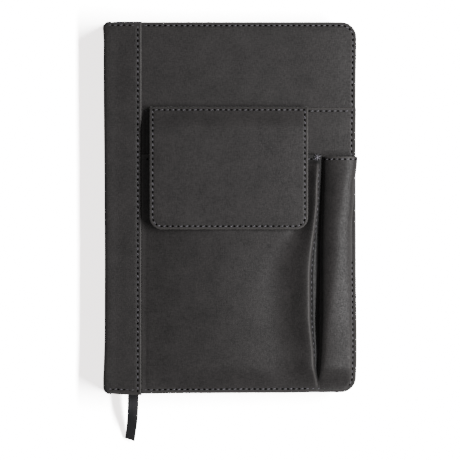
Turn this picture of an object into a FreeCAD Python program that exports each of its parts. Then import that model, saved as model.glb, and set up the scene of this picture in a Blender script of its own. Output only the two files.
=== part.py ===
"""Case-bound notebook with a flap-closed phone pocket and a pen pocket sewn on its front cover.

Frame: the notebook lies on its back cover. +Z is up, +Y runs towards the head of the pages, and the
spine is at -X. The origin is under the middle of the case, on the surface that it lies on. Millimetres.
"""

import FreeCAD
import Part
import math
import os

V = FreeCAD.Vector
os.makedirs("parts", exist_ok=True)

TOUCH = 1e-6              # places nearer to each other than this are the same place
CUT_MARGIN = 1.0          # how far a cutting solid runs past the face that it opens

# ---- the case -------------------------------------------------------------------------------------
COVER_WIDTH = 147.0
COVER_HEIGHT = 216.0
COVER_CORNER = 8.5        # round of the two fore-edge corners
LEATHER = 0.9             # sheet over the boards
BOARD = 1.5               # greyboard inside each cover
LINING = 0.6              # inner sheet, sewn to the leather round the edge
EDGE_ROUND = 0.7          # round of the turned leather edge
SPINE_LEATHER = 1.2       # doubled leather down the back of the spine
SPINE_BOARD = 0.9
SPINE_ROUND = 2.0         # outer corner of the spine
SPINE_HOLLOW = 0.5        # gap between the spine board and the page block
OVERLAP = 1.4             # spine leather with its folded edge, where it laps on the front cover
OVERLAP_WIDTH = 22.6      # how far the spine leather laps on each cover
HINGE_GAP = 7.1           # boards start this far from the back of the spine

# ---- the pages ------------------------------------------------------------------------------------
HEAD_SQUARE = 3.0         # how far the case stands out past the pages at head and tail
FORE_SQUARE = 3.8         # and at the fore edge
PAGE_CORNER = 6.0
PAPER = 0.2               # pastedowns and flyleaves
SECTIONS = 6              # sewn sections that stay on the back cover
SECTION = 1.6             # sixteen leaves
TURNING = 0.8             # eight leaves that turn together
MULL = 0.5                # cloth glued down the back of the sections
BAND_RADIUS = 0.7         # head and tail bands
TURN_GAP = 0.05           # between sheets that turn on each other

# ---- the ribbon marker ----------------------------------------------------------------------------
RIBBON_WIDTH = 6.4
RIBBON = 0.25
RIBBON_SLOT = 0.4         # room between the sections and the first turning leaves

# ---- the pockets ----------------------------------------------------------------------------------
PANEL = 0.7               # organiser panel that the pockets are sewn to
POCKET_SKIN = 0.8         # leather of both pockets
PANEL_LENGTH = 166.2      # organiser panel, from the tail edge
PHONE_LENGTH = 138.8      # phone pocket, from the tail edge to its open edge
PHONE_ROOM = 4.4          # clear height inside the phone pocket
PHONE_RIDGE = 8.0         # height of the pleat's crest
VALLEY = 1.8              # between the foot of the pleat and the pen pocket
PEN_LENGTH = 137.5        # pen pocket, from the tail edge to its open edge
PEN_WIDTH = 18.5          # pen pocket, from the fore edge to its inner seam
PEN_HEIGHT = 9.6          # height of the pen pocket's crest
SEAM_FLANGE = 3.0         # width of the flat sewn margins
BOTTOM_SEAM = 4.0         # width of the sewn margin along the tail edge
PHONE_SHOULDER = 9.0      # width of the slope from the sewn margin up to the phone pocket's crown
CREST_SLOPE = 16.0        # width of the slope from the crown up to the pleat, tailwards of the flap
PLEAT_SET = 1.3           # crest of the pleat from its foot, at the mouth and at the tail
PLEAT_LEAN = 5.6          # how much further back the crest leans between them
CREST_RISE = 9.0          # how steeply the crest rises from the mouth: height over the pocket's length
LEAST_ROOM = 0.4          # hollow that is left where a pocket is nearly flat
HOLLOW_SINK = 0.2         # how far a pocket's hollow is cut below the panel that it lies on
TACK_ARMS = 5             # stitches in the star of the bar tack
TACK_SET = 2.2            # centre of the star from the foot of the pleat

# ---- the flap -------------------------------------------------------------------------------------
FLAP_LEFT_MARGIN = 4.7    # from the lap of the spine leather
FLAP_RIGHT_MARGIN = 7.3   # from the foot of the pleat
FLAP_LENGTH = 71.2        # from the organiser panel's upper edge
FLAP_CORNER = 7.0
FLAP_LEATHER = 0.8
FLAP_LINING = 1.0
FLAP_CLEARANCE = 0.3      # over the phone pocket
FLAP_FLANGE = 2.4         # sewn margin of the flap
FLAP_FREE = 9.7           # where the flap stops bending, from the organiser panel's upper edge
FLAP_AXIS_DOWN = 4.2      # fold axis below the organiser panel's upper edge
FLAP_REST_GAP = 0.9       # over the cover when the flap is thrown right back, stitches between
MAGNET_RADIUS = 6.0
FLAP_MAGNET = 0.6
POCKET_MAGNET = 0.35

# ---- the stitching --------------------------------------------------------------------------------
STITCH_PITCH = 3.25
STITCH_LENGTH = 2.3
STITCH_WIDTH = 0.55
STITCH_HEIGHT = 0.35
STITCH_INSET = 2.65       # seam from the edge of the case
LAP_INSET = 2.1           # seam from the edge of the lap and of the flap

# ---- levels and places worked out from the sizes above --------------------------------------------
LEFT, RIGHT = -COVER_WIDTH / 2, COVER_WIDTH / 2
HEAD, TAIL = COVER_HEIGHT / 2, -COVER_HEIGHT / 2
CASE = LEATHER + BOARD + LINING
BLOCK_X = LEFT + SPINE_LEATHER + SPINE_BOARD + SPINE_HOLLOW + MULL + 2 * TURN_GAP
PAGE_TOP = HEAD - HEAD_SQUARE
FORE_EDGE = RIGHT - FORE_SQUARE
PASTEDOWN_Z = CASE
SECTIONS_Z = CASE + 2 * PAPER
SECTIONS_TOP = SECTIONS_Z + SECTIONS * SECTION
SECOND_Z = SECTIONS_TOP + RIBBON_SLOT
FIRST_Z = SECOND_Z + TURNING + TURN_GAP
FLYLEAF_Z = FIRST_Z + TURNING + TURN_GAP
AXIS_Z = FLYLEAF_Z + PAPER + TURN_GAP
FRONT_PAPER_Z = AXIS_Z + TURN_GAP
FRONT_Z = FRONT_PAPER_Z + PAPER
FRONT_TOP = FRONT_Z + CASE
BOARD_X = LEFT + HINGE_GAP
LAP_X = LEFT + OVERLAP_WIDTH
SPINE_TOP = AXIS_Z - PAPER - 5 * TURN_GAP
POCKET_Z = FRONT_TOP + PANEL
PANEL_X = LAP_X + TURN_GAP
PANEL_TOP = TAIL + PANEL_LENGTH
PHONE_MOUTH = TAIL + PHONE_LENGTH
PEN_MOUTH = TAIL + PEN_LENGTH
PEN_LEFT = RIGHT - PEN_WIDTH
PLEAT_BASE = PEN_LEFT - VALLEY
FLAP_LEFT = LAP_X + FLAP_LEFT_MARGIN
FLAP_RIGHT = PLEAT_BASE - FLAP_RIGHT_MARGIN
FLAP_TIP = PANEL_TOP - FLAP_LENGTH
FLAP_Z = POCKET_Z + PHONE_ROOM + POCKET_SKIN + FLAP_CLEARANCE
FLAP_THICK = FLAP_LEATHER + FLAP_LINING
FLAP_TOP = FLAP_Z + FLAP_THICK
FLAP_AXIS_Y = PANEL_TOP - FLAP_AXIS_DOWN
FLAP_AXIS_Z = (FLAP_TOP + FRONT_TOP + FLAP_REST_GAP) / 2
FLAP_START = PANEL_TOP - FLAP_FREE
MAGNET_Y = FLAP_TIP + 2 * MAGNET_RADIUS


# ---- helpers --------------------------------------------------------------------------------------
def save(name, shapes):
    """Writes one node as one STEP file, from one solid or a list of them."""
    solids = shapes if isinstance(shapes, list) else [shapes]
    whole = solids[0] if len(solids) == 1 else Part.makeCompound(solids)
    whole.exportStep(f"parts/{name}.step")
    volume = sum(s.Volume for s in solids)
    print(f"{name:24s} {len(solids):4d} solids {volume:10.1f} mm3  valid {whole.isValid()}")


def block(x0, x1, y0, y1, z0, z1):
    return Part.makeBox(x1 - x0, y1 - y0, z1 - z0, V(x0, y0, z0))


def prism(points, direction):
    """A closed polygon of vectors, pushed along a direction."""
    return Part.Face(Part.makePolygon(points + points[:1])).extrude(direction)


def edges_where(shape, test):
    """The edges whose every end passes the test."""
    return [e for e in shape.Edges if all(test(v.Point) for v in e.Vertexes)]


def plate(x0, x1, y0, y1, z0, z1, corner):
    """A plate whose two corners at x1 are round."""
    body = block(x0, x1, y0, y1, z0, z1)
    upright = [e for e in edges_where(body, lambda p: abs(p.x - x1) < TOUCH)
               if abs(e.Vertexes[0].Z - e.Vertexes[1].Z) > TOUCH]
    return body.makeFillet(corner, upright)


def soft_edged(body, level, x0, radius):
    """The plate with its rim at one level rounded, except along the straight side at x0."""
    rim = [e for e in edges_where(body, lambda p: abs(p.z - level) < TOUCH)
           if not all(abs(v.X - x0) < TOUCH for v in e.Vertexes)]
    return body.makeFillet(radius, rim)


def lofted(sections):
    """A solid ruled from one polygon to the next; each is a list of (x, y, z)."""
    wires = [Part.makePolygon([V(*p) for p in s + s[:1]]) for s in sections]
    return Part.makeLoft(wires, True, True)


def stitch(x, y, z, angle):
    """One thread bar lying on a surface at z."""
    bar = Part.makeBox(STITCH_LENGTH, STITCH_WIDTH, STITCH_HEIGHT,
                       V(-STITCH_LENGTH / 2, -STITCH_WIDTH / 2, 0))
    bar.rotate(V(0, 0, 0), V(0, 0, 1), math.degrees(angle))
    bar.translate(V(x, y, z))
    return bar


def seam(path, level):
    """Stitches spaced evenly along a wire, at the level given for each place."""
    wire = Part.Wire(path)
    count = max(2, round(wire.Length / STITCH_PITCH))
    places = wire.discretize(Number=2 * count + 1)
    bars = []
    for i in range(1, 2 * count, 2):
        before, here, after = places[i - 1], places[i], places[i + 1]
        angle = math.atan2(after.y - before.y, after.x - before.x)
        bars.append(stitch(here.x, here.y, level(here.x, here.y), angle))
    return bars


def line(x0, y0, x1, y1):
    return Part.LineSegment(V(x0, y0, 0), V(x1, y1, 0)).toShape()


def rounded_corner(cx, cy, radius, start, turn):
    """A quarter circle from the start angle, in degrees, that turns by 90 or by -90."""
    angles = [math.radians(start + share * turn) for share in (0, 0.5, 1)]
    return Part.Arc(*[V(cx + radius * math.cos(a), cy + radius * math.sin(a), 0) for a in angles]).toShape()


# ---- covers ---------------------------------------------------------------------------------------
def cover_inside(x0, z0, z1, thin):
    """The room inside the turned leather edge, from x0 to the fore edge."""
    return plate(x0, RIGHT - thin, TAIL + thin, HEAD - thin, z0, z1, COVER_CORNER - thin)


def back_cover():
    shell = plate(LAP_X, RIGHT, TAIL, HEAD, 0, CASE, COVER_CORNER)
    shell = soft_edged(shell, 0, LAP_X, EDGE_ROUND)
    shell = shell.cut(cover_inside(LAP_X - CUT_MARGIN, LEATHER, CASE + CUT_MARGIN, LEATHER))
    save("back_cover_leather", shell)
    save("back_board", cover_inside(BOARD_X, LEATHER, LEATHER + BOARD, LEATHER))
    save("back_lining", cover_inside(BOARD_X, LEATHER + BOARD, CASE, LEATHER))
    save("back_pastedown", plate(BLOCK_X, FORE_EDGE, -PAGE_TOP, PAGE_TOP, PASTEDOWN_Z,
                                 PASTEDOWN_Z + PAPER, PAGE_CORNER))


def spine():
    """The stiff back of the spine and the leather that runs from it under the back cover."""
    sheet = prism([V(LEFT, TAIL, 0), V(LAP_X, TAIL, 0), V(LAP_X, TAIL, LEATHER),
                   V(LEFT + SPINE_LEATHER, TAIL, LEATHER), V(LEFT + SPINE_LEATHER, TAIL, SPINE_TOP),
                   V(LEFT, TAIL, SPINE_TOP)], V(0, COVER_HEIGHT, 0))
    corner = edges_where(sheet, lambda p: abs(p.x - LEFT) < TOUCH and abs(p.z) < TOUCH)
    sheet = sheet.makeFillet(SPINE_ROUND, corner)
    turned = [block(BOARD_X, LAP_X, y, y + LEATHER, LEATHER, CASE) for y in (TAIL, HEAD - LEATHER)]
    save("spine_leather", sheet.fuse(turned).removeSplitter().Solids[0])
    save("spine_board", block(LEFT + SPINE_LEATHER, LEFT + SPINE_LEATHER + SPINE_BOARD,
                              TAIL + LEATHER, HEAD - LEATHER, LEATHER + EDGE_ROUND, SPINE_TOP - EDGE_ROUND))


def front_cover():
    shell = plate(BOARD_X, RIGHT, TAIL, HEAD, FRONT_Z, FRONT_TOP, COVER_CORNER)
    shell = soft_edged(shell, FRONT_TOP, BOARD_X, EDGE_ROUND)
    shell = shell.cut(cover_inside(BOARD_X - CUT_MARGIN, FRONT_Z - CUT_MARGIN, FRONT_TOP - LEATHER, LEATHER))
    save("front_cover_leather", shell)
    save("front_board", cover_inside(BOARD_X, FRONT_Z + LINING, FRONT_Z + LINING + BOARD, LEATHER))
    save("front_lining", cover_inside(BOARD_X, FRONT_Z, FRONT_Z + LINING, LEATHER))
    save("front_pastedown", plate(BLOCK_X + 2 * TURN_GAP, FORE_EDGE, -PAGE_TOP, PAGE_TOP,
                                  FRONT_PAPER_Z, FRONT_Z, PAGE_CORNER))
    lap = block(BOARD_X, LAP_X, TAIL, HEAD, FRONT_TOP, FRONT_TOP + OVERLAP)
    folded = edges_where(lap, lambda p: abs(p.x - LAP_X) < TOUCH and p.z > FRONT_TOP + TOUCH)
    save("spine_lap_leather", lap.makeFillet(EDGE_ROUND, folded))


def spine_joint():
    """The bendable strip of spine leather between the top of the spine and the front cover."""
    top = FRONT_TOP + OVERLAP
    side = [V(LEFT, TAIL, SPINE_TOP + TURN_GAP), V(LEFT, TAIL, top), V(BOARD_X - TURN_GAP, TAIL, top),
            V(BOARD_X - TURN_GAP, TAIL, FRONT_TOP), V(LEFT + SPINE_LEATHER, TAIL, FRONT_TOP),
            V(LEFT + SPINE_LEATHER, TAIL, SPINE_TOP + TURN_GAP)]
    strip = prism(side, V(0, COVER_HEIGHT, 0))
    outer = edges_where(strip, lambda p: abs(p.x - LEFT) < TOUCH and abs(p.z - top) < TOUCH)
    save("spine_joint_leather", strip.makeFillet(SPINE_ROUND, outer))


# ---- pages ----------------------------------------------------------------------------------------
def sheet_stack(z0, thick):
    return plate(BLOCK_X, FORE_EDGE, -PAGE_TOP, PAGE_TOP, z0, z0 + thick, PAGE_CORNER)


def pages():
    save("back_flyleaf", sheet_stack(PASTEDOWN_Z + PAPER, PAPER))
    for i in range(SECTIONS):
        save(f"page_section_{SECTIONS - i}", sheet_stack(SECTIONS_Z + i * SECTION, SECTION))
    save("second_leaves", sheet_stack(SECOND_Z, TURNING))
    save("first_leaves", sheet_stack(FIRST_Z, TURNING))
    save("front_flyleaf", sheet_stack(FLYLEAF_Z, PAPER))
    save("spine_mull", block(BLOCK_X - TURN_GAP - MULL, BLOCK_X - TURN_GAP, -PAGE_TOP + PAGE_CORNER,
                             PAGE_TOP - PAGE_CORNER, SECTIONS_Z, SECTIONS_TOP))
    for name, side in (("head_band", 1), ("tail_band", -1)):
        y = side * (PAGE_TOP + BAND_RADIUS + TURN_GAP)
        save(name, Part.makeCylinder(BAND_RADIUS, SECTIONS_TOP - SECTIONS_Z, V(BLOCK_X, y, SECTIONS_Z)))


# ---- ribbon ---------------------------------------------------------------------------------------
RIBBON_ROUTE = [
    (-66.5, 103.0, 0.0), (-64.6, 76.0, 0.0), (-61.4, 32.0, 0.0), (-60.6, -12.0, 0.0),
    (-58.2, -56.0, 0.0), (-56.6, -84.0, 0.0), (-56.2, -100.0, 0.0), (-56.0, -110.0, 0.0),
    (-56.3, -120.0, -2.3), (-57.1, -129.0, -6.3), (-58.4, -136.5, -11.0),
]


def rounded(points):
    """Runs and tangent arcs through 2D points, as (kind, points, centre), with each arc's radius."""
    pieces, radii, start = [], [], points[0]
    for a, b, c in zip(points, points[1:], points[2:]):
        u, w = (b - a), (c - b)
        turn = u.getAngle(w)
        if turn < 1e-4:
            continue
        reach = 0.45 * min(u.Length, w.Length)
        radius = reach / math.tan(turn / 2)
        u.normalize()
        w.normalize()
        p, q = b - u * reach, b + w * reach
        inward = w - u
        inward.normalize()
        centre = b + inward * (radius / math.cos(turn / 2))
        pieces += [("run", (start, p), None), ("arc", (p, centre - inward * radius, q), centre)]
        radii.append(radius)
        start = q
    return pieces + [("run", (start, points[-1]), None)], radii


def beside(pieces, distance, normal):
    """The edges that run at a distance beside such a path, in the plane with that normal."""
    edges = []
    for kind, points, centre in pieces:
        if kind == "run":
            across = normal.cross(points[1] - points[0])
            across.normalize()
            edges.append(Part.LineSegment(*[p + across * distance for p in points]).toShape())
        else:
            side = normal.cross(points[2] - points[0])
            radius = (points[0] - centre).Length
            shift = distance if side.dot(points[1] - centre) > 0 else -distance
            edges.append(Part.Arc(*[centre + (p - centre) * ((radius + shift) / radius)
                                    for p in points]).toShape())
    return edges


def band_face(pieces, half, normal):
    """The face of a band of even width along such a path."""
    one, other = beside(pieces, half, normal), beside(pieces, -half, normal)
    ends = []
    for index in (0, -1):
        at = pieces[index][1][index]
        across = normal.cross(pieces[index][1][-1] - pieces[index][1][0])
        across.normalize()
        ends.append(Part.LineSegment(at + across * half, at - across * half).toShape())
    return Part.Face(Part.Wire(Part.__sortEdges__(one + other + ends)))


def ribbon():
    """Where the plan of the ribbon and its side view meet, both as bands of even width."""
    level = SECTIONS_TOP + RIBBON_SLOT / 2
    plan, plan_radii = rounded([V(x, y, 0) for x, y, _ in RIBBON_ROUTE])
    side, side_radii = rounded([V(0, y, level + z) for _, y, z in RIBBON_ROUTE])
    upright = band_face(plan, RIBBON_WIDTH / 2, V(0, 0, 1)).extrude(V(0, 0, AXIS_Z))
    across = band_face(side, RIBBON / 2, V(1, 0, 0))
    across.translate(V(LEFT, 0, 0))
    strip = across.extrude(V(COVER_WIDTH, 0, 0)).common(upright).Solids[0]
    length = sum((V(*b) - V(*a)).Length for a, b in zip(RIBBON_ROUTE, RIBBON_ROUTE[1:]))
    print("ribbon radii in plan", [round(r) for r in plan_radii], "side", [round(r) for r in side_radii])
    print(f"ribbon length {length:.1f}, volume over section {strip.Volume / RIBBON_WIDTH / RIBBON:.1f}")
    save("ribbon_marker", strip)


# ---- pockets --------------------------------------------------------------------------------------
def pleat_crest(y):
    """X of the pleat's crest at a place between the mouth and the tail edge."""
    share = min(1, max(0, (PHONE_MOUTH - y) / (PHONE_MOUTH - TAIL)))
    return PLEAT_BASE - PLEAT_SET - PLEAT_LEAN * abs(math.sin(math.pi * share ** 1.15)) ** 1.6


def phone_section(y, swell, thin):
    """The phone pocket's outline across the cover at y. Thin is 0 outside, and inside it is the skin."""
    share = (PHONE_MOUTH - y) / (PHONE_MOUTH - TAIL)
    skin = POCKET_SKIN
    crown = max(skin + LEAST_ROOM, swell * (PHONE_ROOM + skin))
    crest = max(skin + 1.5 * LEAST_ROOM, swell * min(PHONE_RIDGE, PHONE_ROOM + skin + CREST_RISE * share))
    ridge = pleat_crest(y)
    rise = FLAP_RIGHT + 2 * FLAP_CLEARANCE if y > FLAP_TIP else FLAP_RIGHT - CREST_SLOPE
    left = PANEL_X + thin * SEAM_FLANGE / skin
    foot = PLEAT_BASE - thin
    base = POCKET_Z - (HOLLOW_SINK if thin else 0)
    shape = [(left, base), (left, POCKET_Z + (skin if not thin else 0.05)),
             (PANEL_X + SEAM_FLANGE + thin, POCKET_Z + skin - thin * 0.95),
             (PANEL_X + SEAM_FLANGE + PHONE_SHOULDER + thin, POCKET_Z + crown - thin),
             (rise - thin, POCKET_Z + crown - thin),
             (ridge - 1.2 - thin * 0.4, POCKET_Z + crest - thin),
             (ridge + 0.3 - thin * 1.2, POCKET_Z + crest - 0.5 - thin),
             (foot, POCKET_Z + (skin if not thin else 0.05)), (foot, base)]
    return [(x, y, z) for x, z in shape]


def phone_pocket():
    stations = [(PHONE_MOUTH, 1.0), (FLAP_TIP + 1, 1.0), (FLAP_TIP - 14, 1.0), (TAIL + 48, 1.0),
                (TAIL + 18, 1.0), (TAIL + 10, 0.5), (TAIL + BOTTOM_SEAM, 0.1)]
    outer = lofted([phone_section(y, s, 0) for y, s in stations])
    inner = [phone_section(y, s, POCKET_SKIN) for y, s in stations[:-1]]
    inner[0] = [(x, y + CUT_MARGIN, z) for x, y, z in inner[0]]
    shell = outer.cut(lofted(inner))
    hem = block(PANEL_X, PLEAT_BASE, TAIL, TAIL + BOTTOM_SEAM, POCKET_Z, POCKET_Z + POCKET_SKIN)
    shell = shell.fuse(hem).removeSplitter().Solids[0]
    past_mouth, past_foot = PHONE_MOUTH + 2 * CUT_MARGIN, PLEAT_BASE + CUT_MARGIN
    below = POCKET_Z - CUT_MARGIN
    crest = [V(pleat_crest(y), y, below) for y in [past_mouth] + [y for y, _ in stations[1:]]]
    beyond = [V(past_foot, TAIL + BOTTOM_SEAM, below), V(past_foot, past_mouth, below)]
    right_of_crest = prism(crest + beyond, V(0, 0, PHONE_RIDGE + 3 * CUT_MARGIN))
    panel = shell.cut(right_of_crest).Solids[0]
    magnet = Part.makeCylinder(MAGNET_RADIUS, POCKET_MAGNET,
                               V(0, MAGNET_Y, POCKET_Z + PHONE_ROOM + (POCKET_SKIN - POCKET_MAGNET) / 2))
    save("phone_pocket_panel", panel.cut(magnet).Solids[0])
    save("pocket_magnet_plate", magnet)
    save("phone_pocket_pleat", shell.common(right_of_crest).Solids[0])


def pen_section(y, swell, thin):
    """The pen pocket's outline across the cover at y."""
    crown = max(POCKET_SKIN + LEAST_ROOM, swell * PEN_HEIGHT)
    tall = crown - thin
    wide = RIGHT - 0.1 - PEN_LEFT - 2 * thin
    start = PEN_LEFT + thin
    base = POCKET_Z - (HOLLOW_SINK if thin else 0)
    low = POCKET_SKIN - thin * 0.9
    shape = [(0, None), (0, low), (0.06, low + 0.55 * (tall - low)), (0.2, low + 0.93 * (tall - low)),
             (0.45, tall), (0.72, low + 0.8 * (tall - low)), (0.92, low + 0.35 * (tall - low)), (1, low),
             (1, None)]
    return [(start + share * wide, y, base if z is None else POCKET_Z + z) for share, z in shape]


def pen_pocket():
    stations = [(PEN_MOUTH, 1.0), (TAIL + 26, 1.0), (TAIL + 14, 0.6),
                (TAIL + BOTTOM_SEAM + COVER_CORNER / 2, 0.1)]
    outer = lofted([pen_section(y, s, 0) for y, s in stations])
    inner = [pen_section(y, s, POCKET_SKIN) for y, s in stations[:-1]]
    inner[0] = [(x, y + CUT_MARGIN, z) for x, y, z in inner[0]]
    shell = outer.cut(lofted(inner))
    hem = block(PEN_LEFT, RIGHT, TAIL, stations[-1][0], POCKET_Z, POCKET_Z + POCKET_SKIN).common(
        plate(PEN_LEFT - 20, RIGHT - 0.1, TAIL, HEAD, POCKET_Z, POCKET_Z + POCKET_SKIN, COVER_CORNER))
    save("pen_pocket", shell.fuse(hem).removeSplitter().Solids[0])


def organiser():
    panel = block(PANEL_X, RIGHT, TAIL, PANEL_TOP, FRONT_TOP, POCKET_Z)
    outline = plate(PANEL_X - CUT_MARGIN, RIGHT, TAIL, HEAD, FRONT_TOP, POCKET_Z, COVER_CORNER)
    save("organiser_panel", panel.common(outline).Solids[0])


# ---- flap -----------------------------------------------------------------------------------------
def flap_profile(y0, y1, low, high):
    """Side view of a layer of the flap from y0 by the fold to y1. Low and high are above its underside."""
    root = POCKET_Z + TURN_GAP
    bends = [(PANEL_TOP, root), (PANEL_TOP - FLAP_FLANGE, root),
             (FLAP_START, root + 0.42 * (FLAP_Z - root)), (PHONE_MOUTH + 1, FLAP_Z), (FLAP_TIP, FLAP_Z)]
    kept = [(y, z) for y, z in bends if y1 - TOUCH <= y <= y0 + TOUCH]
    return ([V(FLAP_LEFT, y, z + low) for y, z in kept] + [V(FLAP_LEFT, y, z + high) for y, z in kept[::-1]])


def flap_layer(y0, y1, low, high):
    return prism(flap_profile(y0, y1, low, high), V(FLAP_RIGHT - FLAP_LEFT, 0, 0))


def flap():
    outline = block(FLAP_LEFT, FLAP_RIGHT, FLAP_TIP, FLAP_START, 0, 2 * FLAP_TOP)
    tip = [e for e in edges_where(outline, lambda p: abs(p.y - FLAP_TIP) < TOUCH)
           if abs(e.Vertexes[0].Z - e.Vertexes[1].Z) > TOUCH]
    outline = outline.makeFillet(FLAP_CORNER, tip)
    lining = flap_layer(FLAP_START, FLAP_TIP, 0, FLAP_LINING).common(outline).Solids[0]
    leather = flap_layer(FLAP_START, FLAP_TIP, FLAP_LINING, FLAP_THICK).common(outline).Solids[0]
    seat = V(0, MAGNET_Y, FLAP_Z + FLAP_LINING - FLAP_MAGNET)
    magnet = Part.makeCylinder(MAGNET_RADIUS, FLAP_MAGNET, seat)
    save("flap_lining", lining.cut(magnet).Solids[0])
    save("flap_leather", leather)
    save("flap_magnet", magnet)
    save("flap_sewn_edge", flap_layer(PANEL_TOP, PANEL_TOP - FLAP_FLANGE, 0, FLAP_THICK))
    fold = flap_layer(PANEL_TOP - FLAP_FLANGE, FLAP_START, 0, FLAP_THICK)
    trim = block(FLAP_LEFT - CUT_MARGIN, FLAP_RIGHT + CUT_MARGIN, FLAP_START + TURN_GAP,
                 PANEL_TOP - FLAP_FLANGE, 0, 2 * FLAP_TOP)
    save("flap_fold", fold.common(trim).Solids[0])


# ---- stitching ------------------------------------------------------------------------------------
def front_level(x, y):
    """Height of the front cover's outer surface at a place on its sewn margin."""
    if x < LAP_X:
        return FRONT_TOP + OVERLAP
    if y > PANEL_TOP:
        return FRONT_TOP
    sewn_pocket = y < PEN_MOUTH if x > PEN_LEFT else y < TAIL + BOTTOM_SEAM
    return POCKET_Z + (POCKET_SKIN if sewn_pocket else 0)


def edge_path(x0):
    """The seam round three sides of a cover, from x0 at the head to x0 at the tail."""
    right, top, radius = RIGHT - STITCH_INSET, HEAD - STITCH_INSET, COVER_CORNER - STITCH_INSET
    return [line(x0, top, right - radius, top),
            rounded_corner(right - radius, top - radius, radius, 90, -90),
            line(right, top - radius, right, radius - top),
            rounded_corner(right - radius, radius - top, radius, 0, -90),
            line(right - radius, -top, x0, -top)]


def clear_of_steps(bars):
    """Leaves out a stitch that would bridge a step between two layers of leather."""
    kept = []
    for bar in bars:
        box = bar.BoundBox
        corners = [front_level(x, y) for x in (box.XMin, box.XMax) for y in (box.YMin, box.YMax)]
        if max(corners) - min(corners) < TOUCH:
            kept.append(bar)
    return kept


def pen_flank_clear(bars):
    """The fore-edge seam sits outside the swelling part of the pen pocket."""
    return [b for b in bars if not (b.BoundBox.YMin < PEN_MOUTH and b.BoundBox.YMax > TAIL + BOTTOM_SEAM
                                    and b.BoundBox.XMax > RIGHT - COVER_CORNER)]


def stitching():
    save("cover_edge_thread", pen_flank_clear(clear_of_steps(seam(edge_path(BOARD_X + 1), front_level))))
    x, top = LAP_X - LAP_INSET, HEAD - 2 * STITCH_INSET
    save("lap_thread", seam([line(x, -top, x, top)], front_level))
    save("organiser_thread", seam([line(FLAP_RIGHT + 1, PANEL_TOP - LAP_INSET, RIGHT - 2 * STITCH_INSET,
                                        PANEL_TOP - LAP_INSET)], front_level))
    flat_end = PHONE_MOUTH - 1
    left, right, tip = FLAP_LEFT + LAP_INSET, FLAP_RIGHT - LAP_INSET, FLAP_TIP + LAP_INSET
    radius = FLAP_CORNER - LAP_INSET
    run = [line(left, flat_end, left, tip + radius),
           rounded_corner(left + radius, tip + radius, radius, 180, 90),
           line(left + radius, tip, right - radius, tip),
           rounded_corner(right - radius, tip + radius, radius, 270, 90),
           line(right, tip + radius, right, flat_end)]
    save("flap_thread", seam(run, lambda x, y: FLAP_TOP))
    save("flap_seam_thread", seam([line(FLAP_LEFT + 1, PANEL_TOP - FLAP_FLANGE / 2, FLAP_RIGHT - 1,
                                        PANEL_TOP - FLAP_FLANGE / 2)],
                                  lambda x, y: POCKET_Z + TURN_GAP + FLAP_THICK))


def bar_tack():
    """A star of stitches that pins the mouth of the pleat to the organiser panel."""
    reach = STITCH_WIDTH + STITCH_LENGTH / 2
    x, y = PLEAT_BASE - TACK_SET, PHONE_MOUTH + reach + STITCH_LENGTH / 2 + 4 * TURN_GAP
    turns = [2 * math.pi * i / TACK_ARMS for i in range(TACK_ARMS)]
    save("bar_tack", [stitch(x + reach * math.cos(a), y + reach * math.sin(a), POCKET_Z, a) for a in turns])


back_cover()
spine()
front_cover()
spine_joint()
pages()
ribbon()
organiser()
phone_pocket()
pen_pocket()
flap()
stitching()
bar_tack()
print("axis of the front cover", BLOCK_X, AXIS_Z, " flap axis", FLAP_AXIS_Y, FLAP_AXIS_Z)
print("levels: front", FRONT_Z, FRONT_TOP, " pocket", POCKET_Z, " flap", FLAP_Z, FLAP_TOP)
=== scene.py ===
# %% [markdown]
# # A notebook with pockets on its cover
# The object is a case-bound notebook. Its case is soft-touch leather over boards, sewn all round. A phone
# pocket with a flap and a pen pocket are sewn on the front, and a satin ribbon marks the page. The frame
# holds each part's exact place and size in metres. The pieces below are worked out in millimetres,
# because that is how leather is cut, and are turned into metres when a mesh is made.

import bmesh
import bpy
import numpy as np
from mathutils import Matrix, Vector


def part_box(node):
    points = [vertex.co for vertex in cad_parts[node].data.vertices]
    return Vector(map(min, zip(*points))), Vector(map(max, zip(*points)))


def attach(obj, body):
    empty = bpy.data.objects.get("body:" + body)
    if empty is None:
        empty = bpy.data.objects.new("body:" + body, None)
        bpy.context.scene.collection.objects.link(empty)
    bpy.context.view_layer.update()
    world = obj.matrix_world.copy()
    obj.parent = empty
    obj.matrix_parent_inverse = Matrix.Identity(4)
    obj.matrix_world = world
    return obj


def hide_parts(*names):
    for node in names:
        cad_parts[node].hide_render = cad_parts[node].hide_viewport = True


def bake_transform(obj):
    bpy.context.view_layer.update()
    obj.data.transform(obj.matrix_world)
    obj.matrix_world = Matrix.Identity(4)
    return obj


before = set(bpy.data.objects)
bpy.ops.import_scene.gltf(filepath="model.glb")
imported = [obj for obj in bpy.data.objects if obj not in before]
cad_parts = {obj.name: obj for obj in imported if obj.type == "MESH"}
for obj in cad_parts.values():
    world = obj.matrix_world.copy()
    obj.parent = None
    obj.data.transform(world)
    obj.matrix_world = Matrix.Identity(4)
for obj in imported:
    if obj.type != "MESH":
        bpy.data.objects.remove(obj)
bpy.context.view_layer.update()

MM = 0.001


def span(node):
    """The lowest and highest corners of a part of the frame, in millimetres."""
    low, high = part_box(node)
    return np.array(low) / MM, np.array(high) / MM


FRONT_LOW, FRONT_HIGH = span("front_cover_leather")
SPINE_LOW, SPINE_HIGH = span("spine_leather")
PANEL_LOW, PANEL_HIGH = span("organiser_panel")
LEFT, RIGHT = SPINE_LOW[0], FRONT_HIGH[0]
TAIL, HEAD = FRONT_LOW[1], FRONT_HIGH[1]
LAP_X = SPINE_HIGH[0]
FRONT_TOP = FRONT_HIGH[2]
POCKET_Z = PANEL_HIGH[2]
print(f"case {RIGHT - LEFT:.1f} x {HEAD - TAIL:.1f} mm, front of the cover at z {FRONT_TOP:.1f} mm")

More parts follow.
